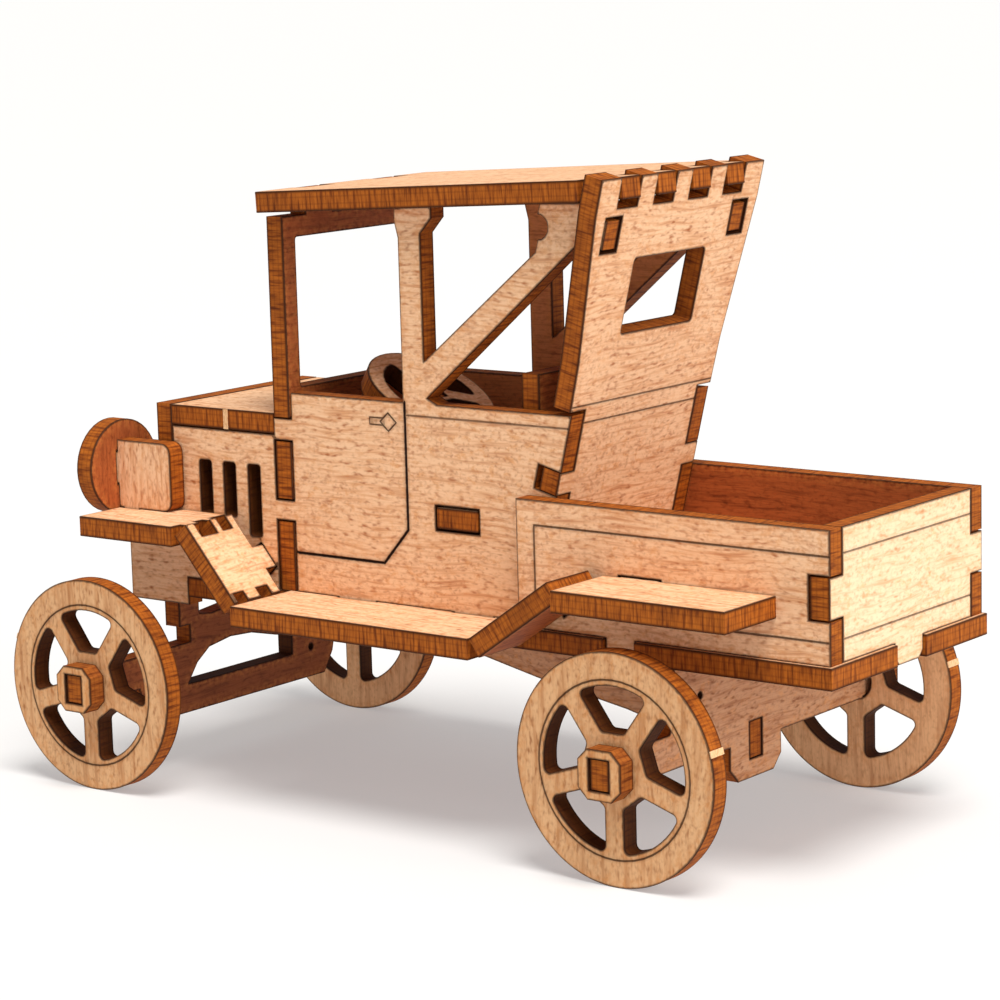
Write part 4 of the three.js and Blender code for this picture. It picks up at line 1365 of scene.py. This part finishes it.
@dataclass
class LoadBed:
    """Two bed sides and a tailgate with burnt-in plank lines."""

    workshop: Workshop
    frame_drop: float = 3.45  # upper line below the top edge
    frame_lift: float = 3.1  # lower line above the deck
    frame_inset: float = 3.0  # upright line behind the front edge

    def build(self) -> None:
        """Cuts the three sheets of the bed."""
        low, high = box_mm("bed_side_left")
        upper = high.z - self.frame_drop
        lower = box_mm("deck")[1].z + self.frame_lift
        front = high.x - self.frame_inset
        lines = (Stroke(((low.x, upper), (front, upper), (front, lower), (low.x, lower)),
                        width=0.36, burn=0.75),)
        for number, (node, side) in enumerate(both_hands("bed_side")):
            self.workshop.cut(SheetPlan(node, side, Side.FRONT, strokes=lines, seed=30 + number))
        half = high.y
        planks = tuple(
            Stroke(((-half, height), (half, height)), width=0.32, burn=0.62)
            for height in (upper, lower)
        )
        # The tailgate takes a paler copy of the veneer: painted light for its brightly lit face.
        self.workshop.cut(SheetPlan("tailgate", Side.REAR, Side.LEFT, strokes=planks, seed=32,
                                    finish="plywood_tailgate"))


@dataclass
class Fenders:
    """Flat fender tops and the sloping sheets that meet the running boards."""

    workshop: Workshop

    def build(self) -> None:
        """Cuts the eight fender sheets."""
        stems = (
            ("front_fender_top", Side.UP, Side.FRONT), ("rear_fender_top", Side.UP, Side.FRONT),
            ("front_fender_slope", Side.UP_REAR, Side.LEFT),
            ("rear_fender_slope", Side.UP_FRONT, Side.LEFT),
        )
        for number, (stem, good_side, grain) in enumerate(stems):
            for hand, (node, _) in enumerate(both_hands(stem)):
                self.workshop.cut(SheetPlan(node, good_side, grain, seed=40 + 2 * number + hand))


@dataclass
class Headlights:
    """Round lamp discs on their brackets."""

    workshop: Workshop

    def build(self) -> None:
        """Cuts the two brackets and the two discs."""
        for number, (node, side) in enumerate(both_hands("headlight_bracket")):
            self.workshop.cut(SheetPlan(node, side, Side.UP, seed=50 + number))
        for number, (node, _) in enumerate(both_hands("headlight_disc")):
            self.workshop.cut(SheetPlan(node, Side.FRONT, Side.UP, seed=52 + number))


@dataclass
class RunningGear:
    """Four spoked wheels, each on its own body, and the caps that keep them on."""

    workshop: Workshop
    ring: float = 12.0  # radius of the burnt-in ring outside the openings
    ring_steps: int = 48

    def build(self) -> None:
        """Cuts the wheels and caps."""
        for row, end in enumerate(("front", "rear")):
            for column, hand in enumerate(("left", "right")):
                side = Side.LEFT if hand == "left" else Side.RIGHT
                seed = 60 + 2 * row + column
                self._wheel(f"wheel_{end}_{hand}", side, seed)
                cap = f"hub_cap_{end}_{hand}"
                self.workshop.cut(SheetPlan(cap, side, Side.UP, seed=seed + 10))

    def _wheel(self, node: str, side: Side, seed: int) -> None:
        """Cuts one wheel from the blank that the wheel tree makes.

        Args:
            node: The wheel's node, which is also its body.
            side: Its outward side.
            seed: Seed of its texture.
        """
        low, high = box_mm(node)
        centre = (low + high) / 2
        radius = (high.z - low.z) / 2
        circle = tuple(
            (centre.x + self.ring * math.cos(t), centre.z + self.ring * math.sin(t))
            for t in (2 * math.pi * i / self.ring_steps for i in range(self.ring_steps))
        )
        ring = Stroke(circle, width=0.32, burn=0.75, closed=True)
        plan = SheetPlan(node, side, Side.UP, body=node, strokes=(ring,), seed=seed)
        self.workshop.cut(plan, self._blank(plan, centre, radius))

    def _blank(self, plan: SheetPlan, centre: Vector, radius: float) -> list[Loop]:
        """Makes the wheel's outlines in the plane of its sheet.

        Args:
            plan: The wheel's plan.
            centre: Its centre.
            radius: Its outer radius.

        Returns:
            The outer loop and the holes, each running the right way round.
        """
        mesh = self.workshop.wheel_blank.bake("wheel_blank", bpy.data.meshes.new("empty"),
                                              Radius=radius)
        bm = bmesh.new()
        bm.from_mesh(mesh)
        bmesh.ops.remove_doubles(bm, verts=bm.verts, dist=1e-4)
        flat = outline_loops(bm, set(bm.faces), (Vector((1, 0, 0)), Vector((0, 1, 0))))
        bm.free()
        normal = plan.good_side.vector
        along = plan.grain.vector
        across = normal.cross(along)
        loops = []
        for loop in flat:
            spots = [centre + Vector((a, 0, b)) for a, b in loop]
            loops.append(np.array([[p.dot(along), p.dot(across)] for p in spots]))
        outer = max(range(len(loops)), key=lambda i: abs(signed_area(loops[i])))
        return [
            loop if (signed_area(loop) > 0) == (i == outer) else loop[::-1]
            for i, loop in enumerate(loops)
        ]


@dataclass(frozen=True)
class Nib:
    """Where a bridge was broken off: a spot on a cut wall, the way out and the sheet's normal."""

    spot: tuple[float, float, float]
    out: tuple[float, float, float]
    through: tuple[float, float, float]


@dataclass
class BridgeNibs:
    """Pale slivers on the cut walls, left where each sheet hung in its panel."""

    workshop: Workshop
    sunk: float = 0.05  # how far each spot lies inside its wall
    bonnet_back: float = 10.7  # from the bonnet's front edge
    deck_back: float = 3.7  # from the front edge of the bed sides
    rear_tread: float = 165.0  # degrees round a rear wheel, from the front
    front_tread: float = 22.0  # the same on a front wheel

    def build(self) -> None:
        """Places the slivers of each body."""
        groups = {"chassis": list(self._chassis())}
        for node in (n for n in sorted(frame["nodes"]) if n.startswith("wheel_")):
            groups[node] = [self._on_tread(node)]
        for body, nibs in groups.items():
            mesh = bpy.data.meshes.new("nib_spots")
            mesh.from_pydata([tuple(Vector(n.spot) * MM) for n in nibs], [], [])
            for name in ("out", "through"):
                layer = mesh.attributes.new(name, "FLOAT_VECTOR", "POINT")
                layer.data.foreach_set("vector", [c for n in nibs for c in getattr(n, name)])
            baked = self.workshop.nibs.bake(f"bridge_nibs_{body}", mesh,
                                            Material=self.workshop.finishes["raw_wood"])
            piece = bpy.data.objects.new(f"bridge_nibs_{body}", baked)
            bpy.context.scene.collection.objects.link(piece)
            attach(piece, body)
            "plywood_body" if body == "chassis" else "plywood_wheel"
            log.info("%s: %d slivers on body %s", piece.name, len(nibs), body)

    def _chassis(self) -> Iterable[Nib]:
        """Finds the slivers on the fixed sheets.

        Returns:
            One sliver after another.
        """
        up = (0, 0, 1)
        low, high = box_mm("bonnet_top")
        middle = (low.z + high.z) / 2
        for side in (-1, 1):
            spot = (high.x - self.bonnet_back, side * (high.y - self.sunk), middle)
            yield Nib(spot, (0, side, 0), up)
        low, high = box_mm("deck")
        middle = (low.z + high.z) / 2
        corner = box_mm("bed_side_left")[1]
        for side in (-1, 1):
            spot = (corner.x - self.deck_back, side * (corner.y - self.sunk), middle)
            yield Nib(spot, (0, side, 0), up)

    def _on_tread(self, node: str) -> Nib:
        """Finds the sliver on a wheel's tread, where it was left when the wheel last stopped.

        Args:
            node: The wheel's node.

        Returns:
            The sliver.
        """
        low, high = box_mm(node)
        centre, radius = (low + high) / 2, (high.z - low.z) / 2 - self.sunk
        angle = math.radians(self.rear_tread if "rear" in node else self.front_tread)
        out = (math.cos(angle), 0.0, math.sin(angle))
        spot = (centre.x + radius * out[0], centre.y, centre.z + radius * out[2])
        return Nib(spot, out, (0, 1, 0))


@dataclass
class Studio:
    """Pale floor, soft lights and the camera."""

    azimuth: float = 217.726
    elevation: float = 9.782
    roll: float = -1.552
    distance: float = 0.46618
    aim: tuple[float, float, float] = (-0.000384, 0.0, 0.04298)
    lens: float = 117.09
    floor_half: float = 12.0
    sky: float = 0.36
    key_from: tuple[float, float, float] = (-0.33, 0.22, 0.9)
    key_power: float = 3.2
    key_softness: float = 28.0

    def build(self) -> None:
        """Sets up the whole studio."""
        self._floor()
        self._camera()
        self._key()
        self._softbox("rear_box", (-1.2, 0.1, 0.45), 0.7, 6.0, (1.0, 0.98, 0.96))
        world = bpy.data.worlds.new("studio")
        bpy.context.scene.world = world
        world.use_nodes = True
        sky = world.node_tree.nodes["Background"]
        sky.inputs["Color"].default_value = (1.0, 0.99, 0.98, 1.0)
        sky.inputs["Strength"].default_value = self.sky
        settings = bpy.context.scene.view_settings
        settings.view_transform = "Standard"
        settings.look = "None"
        settings.exposure = 0.0

    def _floor(self) -> None:
        """A wide plain floor under the wheels."""
        mesh = bpy.data.meshes.new("floor")
        reach = self.floor_half
        corners = [(-reach, -reach, 0), (reach, -reach, 0), (reach, reach, 0), (-reach, reach, 0)]
        mesh.from_pydata(corners, [], [(0, 1, 2, 3)])
        mesh.materials.append(FloorFinish().material())
        floor = bpy.data.objects.new("floor", mesh)
        bpy.context.scene.collection.objects.link(floor)

    def _camera(self) -> None:
        """The camera, turned round its aim and rolled."""
        turn, lift = math.radians(self.azimuth), math.radians(self.elevation)
        back = Vector((math.sin(turn) * math.cos(lift), -math.cos(turn) * math.cos(lift),
                       math.sin(lift)))
        right = Vector((0, 0, 1)).cross(back).normalized()
        up = back.cross(right)
        basis = Matrix((right, up, back)).transposed().to_4x4()
        data = bpy.data.cameras.new("camera")
        data.lens = self.lens
        data.clip_start, data.clip_end = 0.01, 100.0
        camera = bpy.data.objects.new("camera", data)
        spin = Matrix.Rotation(math.radians(self.roll), 4, "Z")
        camera.matrix_world = Matrix.Translation(Vector(self.aim) + back * self.distance) @ basis @ spin
        bpy.context.scene.collection.objects.link(camera)
        bpy.context.scene.camera = camera

    def _key(self) -> None:
        """The main light, even over the whole floor and soft at the edges of its shadows."""
        data = bpy.data.lights.new("key", "SUN")
        data.energy = self.key_power
        data.angle = math.radians(self.key_softness)
        data.color = (1.0, 0.985, 0.96)
        lamp = bpy.data.objects.new("key", data)
        lamp.rotation_euler = Vector(self.key_from).to_track_quat("Z", "Y").to_euler()
        bpy.context.scene.collection.objects.link(lamp)

    def _softbox(self, name: str, place: tuple[float, float, float], size: float, power: float,
                 colour: tuple[float, float, float]) -> None:
        """Adds a square soft light aimed at the truck.

        Args:
            name: The light's name.
            place: Its centre.
            size: Its side.
            power: Its power in watts.
            colour: Its colour.
        """
        data = bpy.data.lights.new(name, "AREA")
        data.size = size
        data.energy = power
        data.color = colour
        lamp = bpy.data.objects.new(name, data)
        lamp.location = place
        lamp.rotation_euler = (Vector(place) - Vector(self.aim)).to_track_quat("Z", "Y").to_euler()
        bpy.context.scene.collection.objects.link(lamp)


FINISHES = (
    VeneerFinish("plywood_body"),
    # plywood_cab_side differs only in its back colours: a lighter painted shade for the insides of the
    # body sides.
    VeneerFinish("plywood_cab_side", back_shade=(212, 134, 82), back_shade_dark=(150, 84, 46)),
    # painted light: a paler copy of the veneer for the brightly lit tailgate
    VeneerFinish("plywood_tailgate", pale=(255, 222, 184), tan=(242, 198, 154), amber=(238, 184, 126),
                 fleck=(206, 142, 94), halo=(224, 162, 100)),
    # painted shade: a darker copy of the veneer for the chassis sheets, which sit in the shade under
    # the truck
    VeneerFinish("plywood_chassis", pale=(212, 162, 124), tan=(186, 128, 90), fleck=(128, 70, 38),
                 back_shade=(150, 84, 48), back_shade_dark=(92, 42, 20)),
    # The wheels' back colours are a paler painted shade, for their inner faces.
    VeneerFinish("plywood_wheel", pale=(230, 182, 134), tan=(202, 144, 96), amber=(206, 138, 78),
                 fleck=(150, 90, 48), streak_length=12.0, streak_width=1.1,
                 back_shade=(244, 192, 142), back_shade_dark=(188, 130, 88)),
    VeneerFinish("plywood_cap", pale=(226, 176, 126), tan=(200, 142, 90), ember=(126, 62, 20),
                 ember_pale=(164, 92, 34)),
    RawWoodFinish(),
)


def main() -> None:
    """Builds the truck's looks and the studio."""
    logging.basicConfig(level=logging.INFO, format="%(name)s: %(message)s")
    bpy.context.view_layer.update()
    finishes = {finish.name: finish.material() for finish in FINISHES}
    workshop = Workshop(finishes, CutWallTree(), WheelBlankTree(), BridgeNibTree())
    for assembly in (Chassis, Cab, LoadBed, Fenders, Headlights, RunningGear, BridgeNibs):
        assembly(workshop).build()
    Studio().build()


if __name__ == "__main__":
    main()
